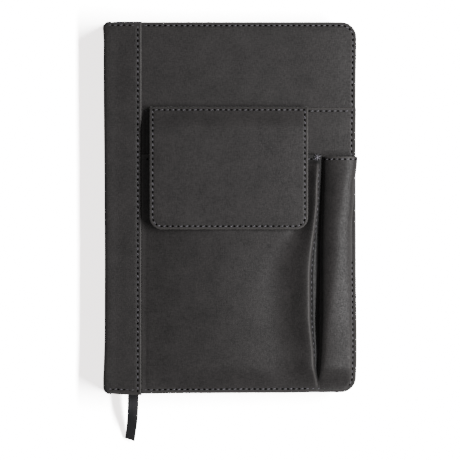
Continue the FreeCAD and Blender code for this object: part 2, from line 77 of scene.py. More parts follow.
# %% [markdown]
# ## The camera
# A notebook is pictured from straight above, from far away, so that its sides don't show and its edges
# stay parallel. A long lens does that. The lens is worked out from the width of the cover's plane that it
# must see.

# %% Camera
VIEW_WIDTH = 268.6
VIEW_CENTRE = (0.7, -13.3)
CAMERA_HEIGHT = 2400.0

camera_data = bpy.data.cameras.new("camera")
camera_data.lens = camera_data.sensor_width * CAMERA_HEIGHT / VIEW_WIDTH
camera_data.clip_end = 20
camera = bpy.data.objects.new("camera", camera_data)
camera.location = (VIEW_CENTRE[0] * MM, VIEW_CENTRE[1] * MM, (FRONT_TOP + CAMERA_HEIGHT) * MM)
bpy.context.scene.collection.objects.link(camera)
bpy.context.scene.camera = camera
print(f"lens {camera_data.lens:.0f} mm")

# %% [markdown]
# ## From arrays to meshes
# Every new piece is one or more grids of points. A grid could be turned into faces with a loop, but numpy
# makes the corner numbers of all its cells at once. Grids that meet are welded along their rims, so that
# seams and poles are closed, and the faces are then turned outwards.

# %% Grids and meshes
def cell_corners(rows, cols):
    """The four corner numbers of every cell of a grid whose points are stored row by row."""
    first = np.arange((rows - 1) * cols).reshape(rows - 1, cols)[:, :-1]
    return np.stack([first, first + 1, first + cols + 1, first + cols], -1).reshape(-1, 4)


def weld(mesh, reach=0.012):
    """Joins points that lie on each other, and turns the faces of the closed shells outwards."""
    work = bmesh.new()
    work.from_mesh(mesh)
    bmesh.ops.remove_doubles(work, verts=work.verts, dist=reach * MM)
    bmesh.ops.recalc_face_normals(work, faces=work.faces)
    work.to_mesh(mesh)
    work.free()


def eased(stations, at):
    """A value that eases from each (place, value) to the next: start + step * (3 t^2 - 2 t^3)."""
    places, values = np.array(sorted(stations)).T
    at = np.clip(at, places[0], places[-1])
    k = np.clip(np.searchsorted(places, at) - 1, 0, len(places) - 2)
    t = (at - places[k]) / (places[k + 1] - places[k])
    return values[k] + (values[k + 1] - values[k]) * t * t * (3 - 2 * t)


def hand_shaped(points):
    """Sewn leather is never true. Its edges bow by a few tenths, and the front falls away by a bell curve
    towards its sewn edges: depth * exp(-(distance / width)^2)."""
    x, y, z = points.T
    near = np.clip((np.abs(x) - 50) / 20, 0, 1) ** 2
    spine = eased([(TAIL, 0.8), (-98, 0.1), (-72, 0.65), (-30, 0.75), (5, 0.55), (86, 0.0), (HEAD, 0.5)], y)
    fore = eased([(TAIL, 0.4), (-84, 1.0), (-30, 0.5), (34, 0.3), (70, 0.7), (97, 1.1), (HEAD, 0.8)], y)
    tail = eased([(LEFT, -0.1), (-48, -0.75), (-28, -0.45), (30, -0.2), (55, 0.1), (RIGHT, 0.1)], x)
    ends = np.clip((np.abs(y) - 85) / 15, 0, 1) ** 2 * (np.abs(y) < HEAD + 2)
    front = np.clip((z - FRONT_TOP + 2.5) / 2, 0, 1) * np.clip((x - LAP_X) / 20, 0, 1)
    fall = 0.6 * np.exp(-(np.clip(RIGHT - x, 0, None) / 9) ** 2)
    fall += 0.35 * np.exp(-(np.clip(np.minimum(HEAD - y, y - TAIL), 0, None) / 5) ** 2)
    bowed_x = x + near * np.where(x < 0, spine, fore)
    bowed_y = y + ends * np.where(y < 0, tail, 0.2)
    return np.stack([bowed_x, bowed_y, z - front * fall], -1)


def surface(name, *grids, finishes=(), wear_and_light_grids=None):
    """A piece made of grids, each (rows, columns, 3) or a stack of such grids, in millimetres.

    finishes says which material slot each grid takes. The list after it holds a mark for each point of each
    grid:
    1 at a cut or folded edge, paler from wear and a painted highlight, down to 0, and -1 for painted shade.
    The leather reads it as an attribute."""
    points, quads, slots, near, count = [], [], [], [], 0
    for number, grid in enumerate(grids):
        stack = grid.reshape((-1,) + grid.shape[-3:])
        rows, cols = stack.shape[1:3]
        starts = count + np.arange(len(stack)) * rows * cols
        faces = (cell_corners(rows, cols)[None] + starts[:, None, None]).reshape(-1, 4)
        points.append(stack.reshape(-1, 3))
        quads.append(faces)
        slots.append(np.full(len(faces), finishes[number] if finishes else 0))
        wear_and_light_here = 0.0 if wear_and_light_grids is None else wear_and_light_grids[number]
        near.append(np.broadcast_to(wear_and_light_here, grid.shape[:-1]).ravel())
        count += len(points[-1])
    points, quads = hand_shaped(np.concatenate(points)), np.concatenate(quads)
    mesh = bpy.data.meshes.new(name)
    mesh.vertices.add(len(points))
    mesh.vertices.foreach_set("co", (points * MM).astype(np.float32).ravel())
    mesh.loops.add(quads.size)
    mesh.loops.foreach_set("vertex_index", quads.astype(np.int32).ravel())
    mesh.polygons.add(len(quads))
    mesh.polygons.foreach_set("loop_start", np.arange(0, quads.size, 4, dtype=np.int32))
    mesh.polygons.foreach_set("material_index", np.concatenate(slots).astype(np.int32))
    mesh.update(calc_edges=True)
    # The attribute carries these marks: worn edges and painted highlights above 0, painted shade below 0.
    wear_and_light = mesh.attributes.new("wear_and_light", "FLOAT", "POINT")
    wear_and_light.data.foreach_set("value", np.concatenate(near).astype(np.float32))
    weld(mesh)
    mesh.polygons.foreach_set("use_smooth", np.ones(len(mesh.polygons), bool))
    piece = bpy.data.objects.new(name, mesh)
    bpy.context.scene.collection.objects.link(piece)
    print(f"{name}: {len(mesh.polygons)} faces")
    return piece


# %% [markdown]
# ## Shapes that leather takes
# Three small formulas shape nearly everything here. A size that changes along a pocket eases from station
# to station. A section is a smooth curve that is pulled towards a few control points. A cut edge closes
# as the height of a circle does.

# %% Curves
def spline_shares(controls, t):
    """How much each control point of a quadratic B-spline pulls at each t from 0 to 1, by de Boor's rule."""
    knots = np.concatenate([[0, 0], np.linspace(0, 1, controls - 1), [1, 1]])
    t = np.clip(t, 0, 1 - 1e-9)[:, None]
    shares = ((t >= knots[:-1]) & (t < knots[1:])).astype(float)
    for degree in (1, 2):
        width = knots[degree:] - knots[:-degree]
        width = np.where(width > 0, width, 1)
        rise = (t - knots[:-degree - 1]) / width[:-1] * shares[:, :-1]
        fall = (knots[degree + 1:] - t) / width[1:] * shares[:, 1:]
        shares = rise + fall
    return shares


def rounded_end(distance, edge):
    """How far a cut edge has opened at a distance from its rim: the height of a quarter circle, 0 to 1."""
    return np.sqrt(1 - (1 - np.clip(distance / edge, 0, 1)) ** 2)


def steps(start, end, edge, inner):
    """Places from start to end that crowd together within an edge's width of both ends."""
    ease = edge * (1 - np.cos(np.linspace(0, np.pi / 2, 5)))
    middle = np.linspace(edge, abs(end - start) - edge, inner)
    places = np.concatenate([ease[:-1], middle, abs(end - start) - ease[::-1][1:]])
    return start + np.sign(end - start) * places


def ripple(x, y, size, height):
    """A soft unevenness: the sum of three long waves that cross each other."""
    a = np.sin(x / size + 0.7 * np.sin(y / size * 0.6))
    b = np.sin(y / size * 0.8 + 1.3 + 0.5 * np.sin(x / size * 0.9))
    return height * (a + b + 0.6 * np.sin((x + y) / size * 1.7 + 0.4)) / 2.6


# %% [markdown]
# ## Two ways to make a leather piece
# A flat piece is a profile carried round its outline: the profile says how high the piece is at each
# distance from its edge, so the rounded edge and the dent under the seam are drawn once. A bent piece
# starts from its middle surface and is thickened along its normals to both sides, which keeps the leather
# equally thick wherever it bends.

# %% Plates and sheets
def outline(box, radii, insets, corner_steps=9, side_steps=40):
    """Rings round a rectangle with round corners, one for each inset. They turn left from corner x1, y0."""
    x0, x1, y0, y1 = box
    inset = np.asarray(insets, float)[:, None]
    inset = np.minimum(inset, min(x1 - x0, y1 - y0) / 2 - 0.004)
    arcs = []
    for x, y, radius, start in ((x1, y0, radii[0], -90), (x1, y1, radii[1], 0), (x0, y1, radii[2], 90),
                                (x0, y0, radii[3], 180)):
        r = np.maximum(radius - inset, 0.004)
        angle = np.radians(start + np.linspace(0, 90, corner_steps + 1))
        centre_x = x + (inset + r) * (1 if x == x0 else -1)
        centre_y = y + (inset + r) * (1 if y == y0 else -1)
        arcs.append(np.stack([centre_x + r * np.cos(angle), centre_y + r * np.sin(angle)], -1))
    share = np.linspace(0, 1, side_steps + 1)[1:-1, None]
    ring = []
    for arc, after in zip(arcs, arcs[1:] + arcs[:1]):
        ring += [arc, arc[:, -1:] * (1 - share) + after[:, :1] * share]
    return np.concatenate(ring + [arcs[0][:, :1]], axis=1)


def plate(name, box, radii, insets, heights, lift=None, **how):
    """A closed plate: heights above each ring, plus a lift that may depend on the place."""
    rings = outline(box, radii, insets, **how)
    z = np.broadcast_to(np.asarray(heights, float)[:, None], rings.shape[:2]).copy()
    if lift is not None:
        z += lift(rings[..., 0], rings[..., 1])
    # Points near the rim are marked to turn paler, from wear and from a painted highlight.
    near = np.exp(-np.asarray(insets, float) / 0.7)[:, None]
    return surface(name, np.concatenate([rings, z[..., None]], -1), wear_and_light_grids=[near])


def edge_insets(edge, reach):
    """Distances from a rim inwards: close at the round edge and at the seam, then wider and wider."""
    return np.concatenate([edge * (1 - np.cos(np.linspace(0, np.pi / 2, 6))), np.linspace(edge, 6, 15)[1:],
                           np.geomspace(6, reach, 10)[1:]])


def dent(inset, seam, depth, width=0.6):
    """How deep the thread pulls the leather in: a bell curve across the seam."""
    return depth * np.exp(-((inset - seam) / width) ** 2)


def rim_distance(middle):
    """How far each point of a grid is from the nearest rim, along its row or its column."""
    nearest = np.full(middle.shape[:2], np.inf)
    for axis in (0, 1):
        length = np.linalg.norm(np.diff(middle, axis=axis), axis=-1)
        here = np.insert(np.cumsum(length, axis=axis), 0, 0, axis=axis)
        whole = here.max(axis=axis, keepdims=True)
        nearest = np.minimum(nearest, np.minimum(here, whole - here))
    return nearest


def normals(middle):
    """The unit cross product of a grid's two directions, column direction first."""
    across = np.cross(np.gradient(middle, axis=1), np.gradient(middle, axis=0))
    return across / np.maximum(np.linalg.norm(across, axis=-1, keepdims=True), 1e-9)


def fold_highlight_share(controls, number, t):
    """Painted highlight along a sheet's fold across its sections: the pull of the control point at its fold,
    0 to 0.75.
    """
    return spline_shares(controls, t)[:, number]


def bent_sheet(name, middle, outer, inner, edge=0.45, seam=None, painted_highlight=0, shade=0):
    """Leather along a middle surface: outer and inner say how far it reaches to each side of it.

    seam is (distance from the rim, depth) of the dent that a row of stitches makes in the outer face. The
    next argument is 1 where a painted highlight lies along a fold, and shade is 1 where painted shade darkens
    the face."""
    inset = rim_distance(middle)
    opening = rounded_end(inset, edge)[..., None]
    up = normals(middle)
    pulled = dent(inset, *seam)[..., None] if seam else 0
    top = middle + up * (outer * opening - pulled)
    bottom = middle - up * inner * opening
    near = np.exp(-inset / 0.7)
    # Worn edges with their painted highlight and the painted fold highlights count up to 1; painted shade
    # counts down to -1.
    wear_and_painted_light = np.maximum(near, painted_highlight) * (1 - shade) - shade
    return surface(name, top, bottom, wear_and_light_grids=[wear_and_painted_light, near]), top, up


# %% [markdown]
# ## Finishes
# Nothing here is one flat colour. The leather has a soft heathered look: short lighter and darker flecks
# that run both along and across, over slow clouds of tone. It could come from a picture, but noise that
# is stretched two ways needs none and never repeats. All patterns read Object coordinates, so they stay
# on the piece.

# %% Material helpers
def new_finish(name, roughness):
    """A material, its node tree and its shader."""
    finish = bpy.data.materials.new(name)
    finish.use_nodes = True
    shader = finish.node_tree.nodes["Principled BSDF"]
    shader.inputs["Roughness"].default_value = roughness
    return finish, finish.node_tree, shader


def add_node(tree, kind, inputs=None, **settings):
    """A node with its settings; inputs gives socket values, or the sockets that feed them."""
    node = tree.nodes.new(kind)
    for key, value in settings.items():
        setattr(node, key, value)
    for key, value in (inputs or {}).items():
        if isinstance(value, bpy.types.NodeSocket):
            tree.links.new(value, node.inputs[key])
        else:
            node.inputs[key].default_value = value
    return node


def flecks(tree, stretch, scale, detail=2.0):
    """Noise on Object coordinates, in metres, stretched along one direction."""
    place = add_node(tree, "ShaderNodeTexCoord").outputs["Object"]
    turned = add_node(tree, "ShaderNodeMapping", {"Vector": place, "Scale": stretch})
    noise = add_node(tree, "ShaderNodeTexNoise", {"Vector": turned.outputs["Vector"], "Scale": scale,
                                                  "Detail": detail, "Roughness": 0.6})
    return noise.outputs["Fac"]


def blended(tree, share, first, second):
    """The colour that is share of the way from the first to the second."""
    mix = add_node(tree, "ShaderNodeMix", data_type="RGBA")
    for socket, value in ((mix.inputs[0], share), (mix.inputs[6], first), (mix.inputs[7], second)):
        if isinstance(value, bpy.types.NodeSocket):
            tree.links.new(value, socket)
        else:
            socket.default_value = value
    return mix.outputs[2]


def ranged(tree, value, low, high, to_low=0.0, to_high=1.0):
    """A value moved from one range to another, and kept inside it."""
    return add_node(tree, "ShaderNodeMapRange", {"Value": value, "From Min": low, "From Max": high,
                                                 "To Min": to_low, "To Max": to_high}).outputs["Result"]


def worked(tree, operation, first, second=0.0):
    """One sum on one or two values."""
    node = add_node(tree, "ShaderNodeMath", operation=operation)
    for socket, value in ((node.inputs[0], first), (node.inputs[1], second)):
        if isinstance(value, bpy.types.NodeSocket):
            tree.links.new(value, socket)
        else:
            socket.default_value = value
    return node.outputs[0]


def raised(tree, shader, height, depth, strength=1.0):
    """Feeds a height, in units of depth in metres, to the shader's normal."""
    bump = add_node(tree, "ShaderNodeBump", {"Height": height, "Distance": depth, "Strength": strength})
    tree.links.new(bump.outputs["Normal"], shader.inputs["Normal"])


# %% Leather, lining and thread
def leather(name, dark, light, worn_and_highlight_tone, roughness=0.56):
    """Soft-touch leather: flecks along and across, clouds of tone, worn pale edges, painted highlights and
    shade.
    """
    finish, tree, shader = new_finish(name, roughness)
    along, across = flecks(tree, (1, 0.3, 1), 1500), flecks(tree, (0.3, 1, 1), 1500)
    clouds = flecks(tree, (1, 1, 1), 90, 3.0)
    grain = worked(tree, "ADD", worked(tree, "MULTIPLY", along, 0.5), worked(tree, "MULTIPLY", across, 0.5))
    tone = worked(tree, "ADD", worked(tree, "MULTIPLY", grain, 0.75), worked(tree, "MULTIPLY", clouds, 0.25))
    colour = blended(tree, ranged(tree, tone, 0.36, 0.64), dark, light)
    wear_and_light = add_node(tree, "ShaderNodeAttribute", attribute_name="wear_and_light").outputs["Fac"]
    # Marks above 0 turn the leather paler: worn cut edges, and the painted highlight on edges and folds.
    colour = blended(tree, ranged(tree, wear_and_light, 0, 1, 0, 0.7), colour, worn_and_highlight_tone)
    # Marks below 0 turn it nearly black: painted shade.
    tree.links.new(blended(tree, ranged(tree, wear_and_light, -1, 0, 0.75, 0), colour, (0.004, 0.004, 0.004, 1)),
                   shader.inputs["Base Color"])
    gloss = ranged(tree, grain, 0.35, 0.65, roughness + 0.07, roughness - 0.09)
    tree.links.new(gloss, shader.inputs["Roughness"])
    pores = worked(tree, "MULTIPLY", flecks(tree, (1, 1, 1), 3800), 0.5)
    raised(tree, shader, worked(tree, "ADD", grain, pores), 0.00009)
    shader.inputs["Specular IOR Level"].default_value = 0.34
    shader.inputs["Sheen Weight"].default_value = 0.12
    shader.inputs["Sheen Roughness"].default_value = 0.45
    return finish


def spun_thread(name, shade, lit):
    """Twisted thread: plies as slanting waves, and a little unevenness of dye."""
    finish, tree, shader = new_finish(name, 0.5)
    place = add_node(tree, "ShaderNodeTexCoord").outputs["Object"]
    plies = add_node(tree, "ShaderNodeTexWave", {"Vector": place, "Scale": 900.0, "Distortion": 1.5},
                     bands_direction="DIAGONAL")
    tree.links.new(blended(tree, ranged(tree, flecks(tree, (1, 1, 1), 420), 0.35, 0.65), shade, lit),
                   shader.inputs["Base Color"])
    raised(tree, shader, plies.outputs["Fac"], 0.00006)
    shader.inputs["Sheen Weight"].default_value = 0.25
    return finish


def painted_hole_shade(name, dark, light):
    """The painted shade of a needle hole: nearly black, with no gloss, and a trace of loose fibre."""
    finish, tree, shader = new_finish(name, 1.0)
    tree.links.new(blended(tree, ranged(tree, flecks(tree, (1, 1, 1), 2600), 0.4, 0.7), dark, light),
                   shader.inputs["Base Color"])
    shader.inputs["Specular IOR Level"].default_value = 0.0
    return finish


# The third colour is the pale tone of worn edges, which also serves as the painted highlight on edges and
# folds.
COVER_LEATHER = leather("cover_leather", (0.0125, 0.0112, 0.0111, 1), (0.039, 0.0352, 0.0350, 1),
                        (0.078, 0.072, 0.070, 1))
POCKET_LINING = leather("pocket_lining", (0.012, 0.0115, 0.0115, 1), (0.030, 0.028, 0.028, 1),
                        (0.03, 0.03, 0.03, 1), 0.8)
SEAM_THREAD = spun_thread("seam_thread", (0.06, 0.055, 0.066, 1), (0.20, 0.187, 0.222, 1))
# A nearly black finish that paints the shade inside the needle holes.
HOLE_SHADE = painted_hole_shade("hole_shade_disc", (0.0012, 0.0011, 0.0011, 1), (0.004, 0.004, 0.004, 1))


def finished(piece, *finishes):
    """Gives a piece its materials, in the order of its slots. Clearing the slots would reset every face's."""
    slots = piece.data.materials
    for number, finish in enumerate(finishes):
        if number < len(slots):
            slots[number] = finish
        else:
            slots.append(finish)
    return piece


# %% [markdown]
# ## The ribbon
# A satin marker is glued to the head of the spine, lies between the leaves and comes out at the tail. It
# is a fixed length of something limp, so it is a cord whose route is a smooth spline. A flat bevel on the
# curve would do, but a strip that is swept along the spline can also roll a little where it hangs free.

# %% Ribbon
SECTIONS_TOP = span("page_section_1")[1][2]
RIBBON_LEVEL = SECTIONS_TOP + 0.2
RIBBON_WIDTH = 6.4
RIBBON_THICK = 0.24
RIBBON_ROUTE = [
    (-66.5, 103.0, 0.0), (-64.6, 76.0, 0.0), (-61.4, 32.0, 0.0), (-60.6, -12.0, 0.0),
    (-58.2, -56.0, 0.0), (-56.6, -84.0, 0.0), (-56.2, -100.0, 0.0), (-56.0, -110.0, 0.0),
    (-56.3, -120.0, -2.3), (-57.1, -129.0, -6.3), (-58.4, -136.5, -11.0),
]


def spline_line(name, route):
    """The points, in millimetres, of the smooth spline that a route pulls towards itself."""
    curve = bpy.data.curves.new(name, "CURVE")
    curve.dimensions = "3D"
    curve.resolution_u = 14
    spline = curve.splines.new("NURBS")
    spline.points.add(len(route) - 1)
    for point, (x, y, z) in zip(spline.points, route):
        point.co = (x * MM, y * MM, z * MM, 1)
    spline.order_u = 3
    spline.use_endpoint_u = True
    guide = bpy.data.objects.new(name, curve)
    mesh = bpy.data.meshes.new_from_object(guide)
    line = np.array([v.co for v in mesh.vertices], float) / MM
    bpy.data.objects.remove(guide)
    bpy.data.meshes.remove(mesh)
    return line


def ribbon_strip(line, width, thickness):
    """A flat oval section carried along the line; outside the pages it rolls like a slow wave."""
    along = np.gradient(line, axis=0)
    along /= np.linalg.norm(along, axis=1, keepdims=True)
    side = np.cross(along, (0, 0, 1.0))
    side /= np.linalg.norm(side, axis=1, keepdims=True)
    up = np.cross(side, along)
    free = np.clip((TAIL - 2 - line[:, 1]) / 22, 0, 1)
    roll = (0.30 * free * np.sin(free * 5.0))[:, None]
    side, up = side * np.cos(roll) + up * np.sin(roll), up * np.cos(roll) - side * np.sin(roll)
    angle = np.linspace(0, 2 * np.pi, 25)
    across, high = np.sign(np.cos(angle)) * np.abs(np.cos(angle)) ** 0.7, np.sin(angle)
    cup = 0.12 * free[:, None] * across[None] ** 2
    strip = (line[:, None] + side[:, None] * (across * width / 2)[None, :, None]
             + up[:, None] * (high * thickness / 2 + cup)[..., None])
    ends = [np.broadcast_to(line[i], strip[0].shape)[None] for i in (0, -1)]
    return surface("ribbon", np.concatenate([ends[0], strip, ends[1]]))


def satin(name, dark, light):
    """Satin: fine warp threads along the ribbon, that catch the light as narrow lines."""
    finish, tree, shader = new_finish(name, 0.42)
    warp, clouds = flecks(tree, (1, 0.02, 1), 3500), flecks(tree, (1, 1, 1), 160)
    tone = worked(tree, "ADD", worked(tree, "MULTIPLY", warp, 0.6), worked(tree, "MULTIPLY", clouds, 0.4))
    tree.links.new(blended(tree, ranged(tree, tone, 0.38, 0.62), dark, light), shader.inputs["Base Color"])
    raised(tree, shader, warp, 0.00004)
    shader.inputs["Sheen Weight"].default_value = 0.15
    shader.inputs["Anisotropic"].default_value = 0.6
    return finish


RIBBON_SATIN = satin("satin", (0.004, 0.0038, 0.0048, 1), (0.015, 0.014, 0.018, 1))
ribbon_line = spline_line("ribbon_route", [(x, y, RIBBON_LEVEL + z) for x, y, z in RIBBON_ROUTE])
ribbon = finished(ribbon_strip(ribbon_line, RIBBON_WIDTH, RIBBON_THICK), RIBBON_SATIN)
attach(ribbon, "back_case")
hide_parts("ribbon_marker")
print(f"ribbon {np.linalg.norm(np.diff(ribbon_line, axis=0), axis=1).sum():.0f} mm long")

# %% [markdown]
# ## Stitches
# The case and the pockets are sewn with a pale thread. One stitch is a grain that is thick in the middle
# and dives into the leather at both ends. It could be a curve with a bevel, but hundreds of them would be
# heavy, so one small grid is copied along each seam as one array. Between each two stitches, a dark disc of
# painted shade stands for the needle hole.

# %% Stitch helpers
STITCH_PITCH = 3.25
SEAM_INSET = 2.1
LAP_INSET = 1.9


def stitch_grain(length=1.75, width=0.46, rise=0.2):
    """A grain: radius (1 - |t|^2.6)^0.5 at t from -1 to 1 along it, its middle lifted by 1 - t^2."""
    t = np.linspace(-1, 1, 7)[:, None]
    turn = np.linspace(0, 2 * np.pi, 7)[None]
    radius = np.sqrt(np.maximum(1 - np.abs(t) ** 2.6, 0)) * width / 2
    return np.stack(np.broadcast_arrays(t * length / 2, radius * np.cos(turn),
                                        radius * np.sin(turn) * 0.8 + rise * (1 - t ** 2) - 0.08), -1)


def hole_shade_disc(length=1.5, width=1.0):
    """A small oval disc that carries the painted shade of a needle hole, its rim sunk into the leather."""
    r = np.array([0.0, 0.5])[:, None]
    turn = np.linspace(0, 2 * np.pi, 9)[None]
    x, y, z = r * length * np.cos(turn), r * width * np.sin(turn), 0.08 - r * 0.06
    return np.stack(np.broadcast_arrays(x, y, z), -1)


def spaced(path, count, shift):
    """Points and directions at even distances along a line; shift is where in each space the point lies."""
    length = np.insert(np.cumsum(np.linalg.norm(np.diff(path[:, :3], axis=0), axis=1)), 0, 0)
    at = (np.arange(count) + shift) * length[-1] / count
    point = np.stack([np.interp(at, length, c) for c in path.T], -1)
    ahead = np.stack([np.interp(at + 0.4, length, c) for c in path.T[:3]], -1)
    behind = np.stack([np.interp(at - 0.4, length, c) for c in path.T[:3]], -1)
    way = ahead - behind
    return point, way / np.linalg.norm(way, axis=1, keepdims=True)


def copies(template, point, way, up, slant=0.0):
    """The template at each point: x along the seam, y beside it, z out of the leather."""
    side = np.cross(up, way)
    side /= np.linalg.norm(side, axis=1, keepdims=True)
    along = way * np.cos(slant) + side * np.sin(slant)
    beside = side * np.cos(slant) - way * np.sin(slant)
    frame_axes = [a[:, None, None] for a in (along, beside, up)]
    return point[:, None, None] + sum(template[None, ..., i:i + 1] * a for i, a in enumerate(frame_axes))


def seam(name, *paths, pitch=STITCH_PITCH, keep=None, slant=0.2, rise=0.1):
    """Rows of stitches and the painted shade of their needle holes. Each path is points (x, y, z) and the
    leather's normal at each.
    """
    grids = []
    for template, shift, turned in ((stitch_grain(rise=rise), 0.5, slant), (hole_shade_disc(), 0.0, 0.0)):
        rows = []
        for path in paths:
            count = max(1, round(np.linalg.norm(np.diff(path[:, :3], axis=0), axis=1).sum() / pitch))
            point, way = spaced(path, count, shift)
            wanted = np.ones(count, bool) if keep is None else keep(point[:, 0], point[:, 1])
            point, way = point[wanted], way[wanted]
            up = point[:, 3:] / np.linalg.norm(point[:, 3:], axis=1, keepdims=True)
            rows.append(copies(template, point[:, :3], way, up, turned))
        grids.append(np.concatenate(rows))
    return finished(surface(name, *grids, finishes=(0, 1)), SEAM_THREAD, HOLE_SHADE)


def facing(path, up=(0, 0, 1)):
    """A path of (x, y, z) with the same normal at every point."""
    return np.concatenate([path, np.broadcast_to(np.asarray(up, float), path.shape)], 1)


def straight(x0, y0, x1, y1, z, up=(0, 0, 1)):
    """A straight line from one place to another at a level."""
    return facing(np.linspace((x0, y0, z), (x1, y1, z), 40), up)


# %% [markdown]
# ## The front cover
# A board between leather and lining, sewn together round the edge. The leather is one shell: flat on top,
# round at the edge, with a shallow dent where the seam pulls it in. Its profile is carried round the
# outline.

# %% Cover leather
def tray_profile(outer, lip, sheet, edge, depth, reach, wall=0.85):
    """Insets and heights from the middle of the outer face, over the edge, to the middle of the inner face.

    outer, lip and sheet are the levels of the outer face, of the folded lip, and of the sheet's inner face.
    depth is that of the dent under the seam."""
    way = 1 if outer > lip else -1
    inset = edge_insets(edge, reach)
    face = outer - way * (edge * (1 - rounded_end(inset, edge)) + dent(inset, SEAM_INSET, depth))
    low = np.array([0.0, 0.08, 0.3, wall, wall, reach])
    under = np.array([lip + way * 0.35, lip + way * 0.12, lip, lip, sheet, sheet])
    return np.concatenate([inset[::-1], low]), np.concatenate([face[::-1], under])


CORNER = 8.5
SQUARE_END = 0.3
COVER_CORNERS = (CORNER, CORNER, SQUARE_END, SQUARE_END)
front_box = (FRONT_LOW[0] + 0.1, RIGHT, TAIL, HEAD)
to_middle = (RIGHT - FRONT_LOW[0]) / 2
insets, heights = tray_profile(FRONT_TOP, FRONT_LOW[2], FRONT_TOP - 0.88, 0.9, 0.18, to_middle)
front_leather = plate("front_leather", front_box, COVER_CORNERS, insets, heights)
finished(front_leather, COVER_LEATHER)
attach(front_leather, "front_cover")
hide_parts("front_cover_leather")

BACK_HIGH = span("back_cover_leather")[1]
back_box = (LAP_X + 0.05, RIGHT, TAIL, HEAD)
insets, heights = tray_profile(0.0, BACK_HIGH[2], 0.88, 0.8, 0.42, (RIGHT - LAP_X) / 2)
back_leather = plate("back_leather", back_box, COVER_CORNERS, insets, heights)
finished(back_leather, COVER_LEATHER)
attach(back_leather, "back_case")
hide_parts("back_cover_leather")

# %% [markdown]
# ## The spine leather
# One piece runs from its folded edge on the front cover, round the spine, to its edge on the back. On the
# book it bends in the joint between the spine and the board when the cover opens. It could be three stiff
# pieces that part at the joint; here it is one sheet, baked in place and not blended between the two bodies.

# %% Spine
LAP_THICK = span("spine_lap_leather")[1][2] - FRONT_TOP
LAP_TOP = FRONT_TOP + LAP_THICK
SPINE_TAIL, SPINE_HEAD = TAIL - 1.0, HEAD + 0.2
SPINE_CORNER = 3.2
FLARE_LENGTH = 9.0


def joint_blend(piece):
    """Bakes a piece's transform into its mesh; the piece is not blended across the joint."""
    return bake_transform(piece)


def spine_pull(x, y):
    """How far the spine moves in x, and its ends in y. It flares at head and tail by a bell curve, and its
    corners are round in plan, by the height of a circle."""
    from_end = np.clip(np.minimum(SPINE_HEAD - y, y - SPINE_TAIL), 0, None)
    flare = 0.35 - np.exp(-(from_end / FLARE_LENGTH) ** 2)
    corner = SPINE_CORNER - np.sqrt(SPINE_CORNER ** 2 - np.clip(SPINE_CORNER - from_end, 0, None) ** 2)
    wall = np.clip((LEFT + 9 - x) / 8, 0, 1) ** 1.5
    return (flare + corner) * wall, -np.sign(y) * 0.65 * wall * np.exp(-from_end / 2.5)


def spine_middle():
    """The middle of the leather: a section from the back edge round to the front, from tail to head."""
    wall, low, high = LEFT + 0.6, 0.45, FRONT_TOP + LAP_THICK / 2
    section = np.array([(LAP_X, low), (LAP_X - 3, low), (LEFT + 16, low), (LEFT + 3.4, low), (wall, low),
                        (wall, low + 2.6), (wall - 0.1, 7.0), (wall - 0.1, 12.0), (wall, high - 3.0),
                        (wall, high), (wall + 2.8, high + 0.1), (LEFT + 8.5, high - 0.12), (LEFT + 14, high),
                        (LAP_X - 3, high), (LAP_X, high)])
    t = steps(0, 1, 0.004, 118)
    xz = spline_shares(len(section), t) @ section
    y = steps(SPINE_TAIL, SPINE_HEAD, 0.5, 150)
    x = np.broadcast_to(xz[:, 0], (len(y), len(t)))
    across, along = spine_pull(x, y[:, None])
    x, y = x + across, y[:, None] + along
    z = xz[:, 1] + ripple(x, y, 11, 0.045) * (xz[:, 1] > FRONT_TOP)
    return np.stack([x, y, z], -1), xz[:, 1]


spine_grid, spine_level = spine_middle()
half = np.interp(spine_level, [0.45, 5, 14, FRONT_TOP + LAP_THICK / 2], [0.45, 0.6, 0.6, LAP_THICK / 2])
half = half[None, :, None]
spine_leather = bent_sheet("spine_leather_wrap", spine_grid, half, half, 0.65, (2.35, 0.22))[0]
finished(spine_leather, COVER_LEATHER)
joint_blend(spine_leather)
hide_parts("spine_leather", "spine_joint_leather", "spine_lap_leather")

# %% [markdown]
# ## The organiser panel
# The pockets are sewn to a second layer of leather that covers the lower three quarters of the front. Its
# upper edge is turned and sewn down, and its other edges are caught in the seam of the cover.

# %% Organiser panel
PANEL_TOP = PANEL_HIGH[1]
panel_box = (PANEL_LOW[0], RIGHT + 0.3, TAIL - 0.2, PANEL_TOP)
inset = edge_insets(0.5, (panel_box[1] - panel_box[0]) / 2)
face = POCKET_Z + 0.05 - 0.5 * (1 - rounded_end(inset, 0.5)) - dent(inset, 2.4, 0.2)
insets = np.concatenate([inset[::-1], [0.0, 0.2, inset[-1]]])
heights = np.concatenate([face[::-1], [FRONT_TOP - 0.35, FRONT_TOP + 0.02, FRONT_TOP + 0.02]])
organiser = plate("organiser_leather", panel_box, (CORNER + 0.2, 0.5, 0.3, 0.3), insets, heights)
finished(organiser, COVER_LEATHER)
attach(organiser, "front_cover")
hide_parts("organiser_panel")

# %% [markdown]
# ## The phone pocket
# One soft panel with a pleat at its fore-edge side. It is low at its left seam, swells over the room for
# the phone, rises to the pleat's folded crest, and drops down the pleat's inner face to the seam at its
# foot. Each section across the pocket is a spline, and its control points ease along the pocket's length.
# At the mouth the pleat is pinched shut by a bar tack, and at the tail the pocket is sewn flat.

# %% Phone pocket
SKIN = 0.8
PHONE_MOUTH = span("phone_pocket_panel")[1][1]
PLEAT_FOOT = span("phone_pocket_pleat")[1][0]
CROWN = 4.8


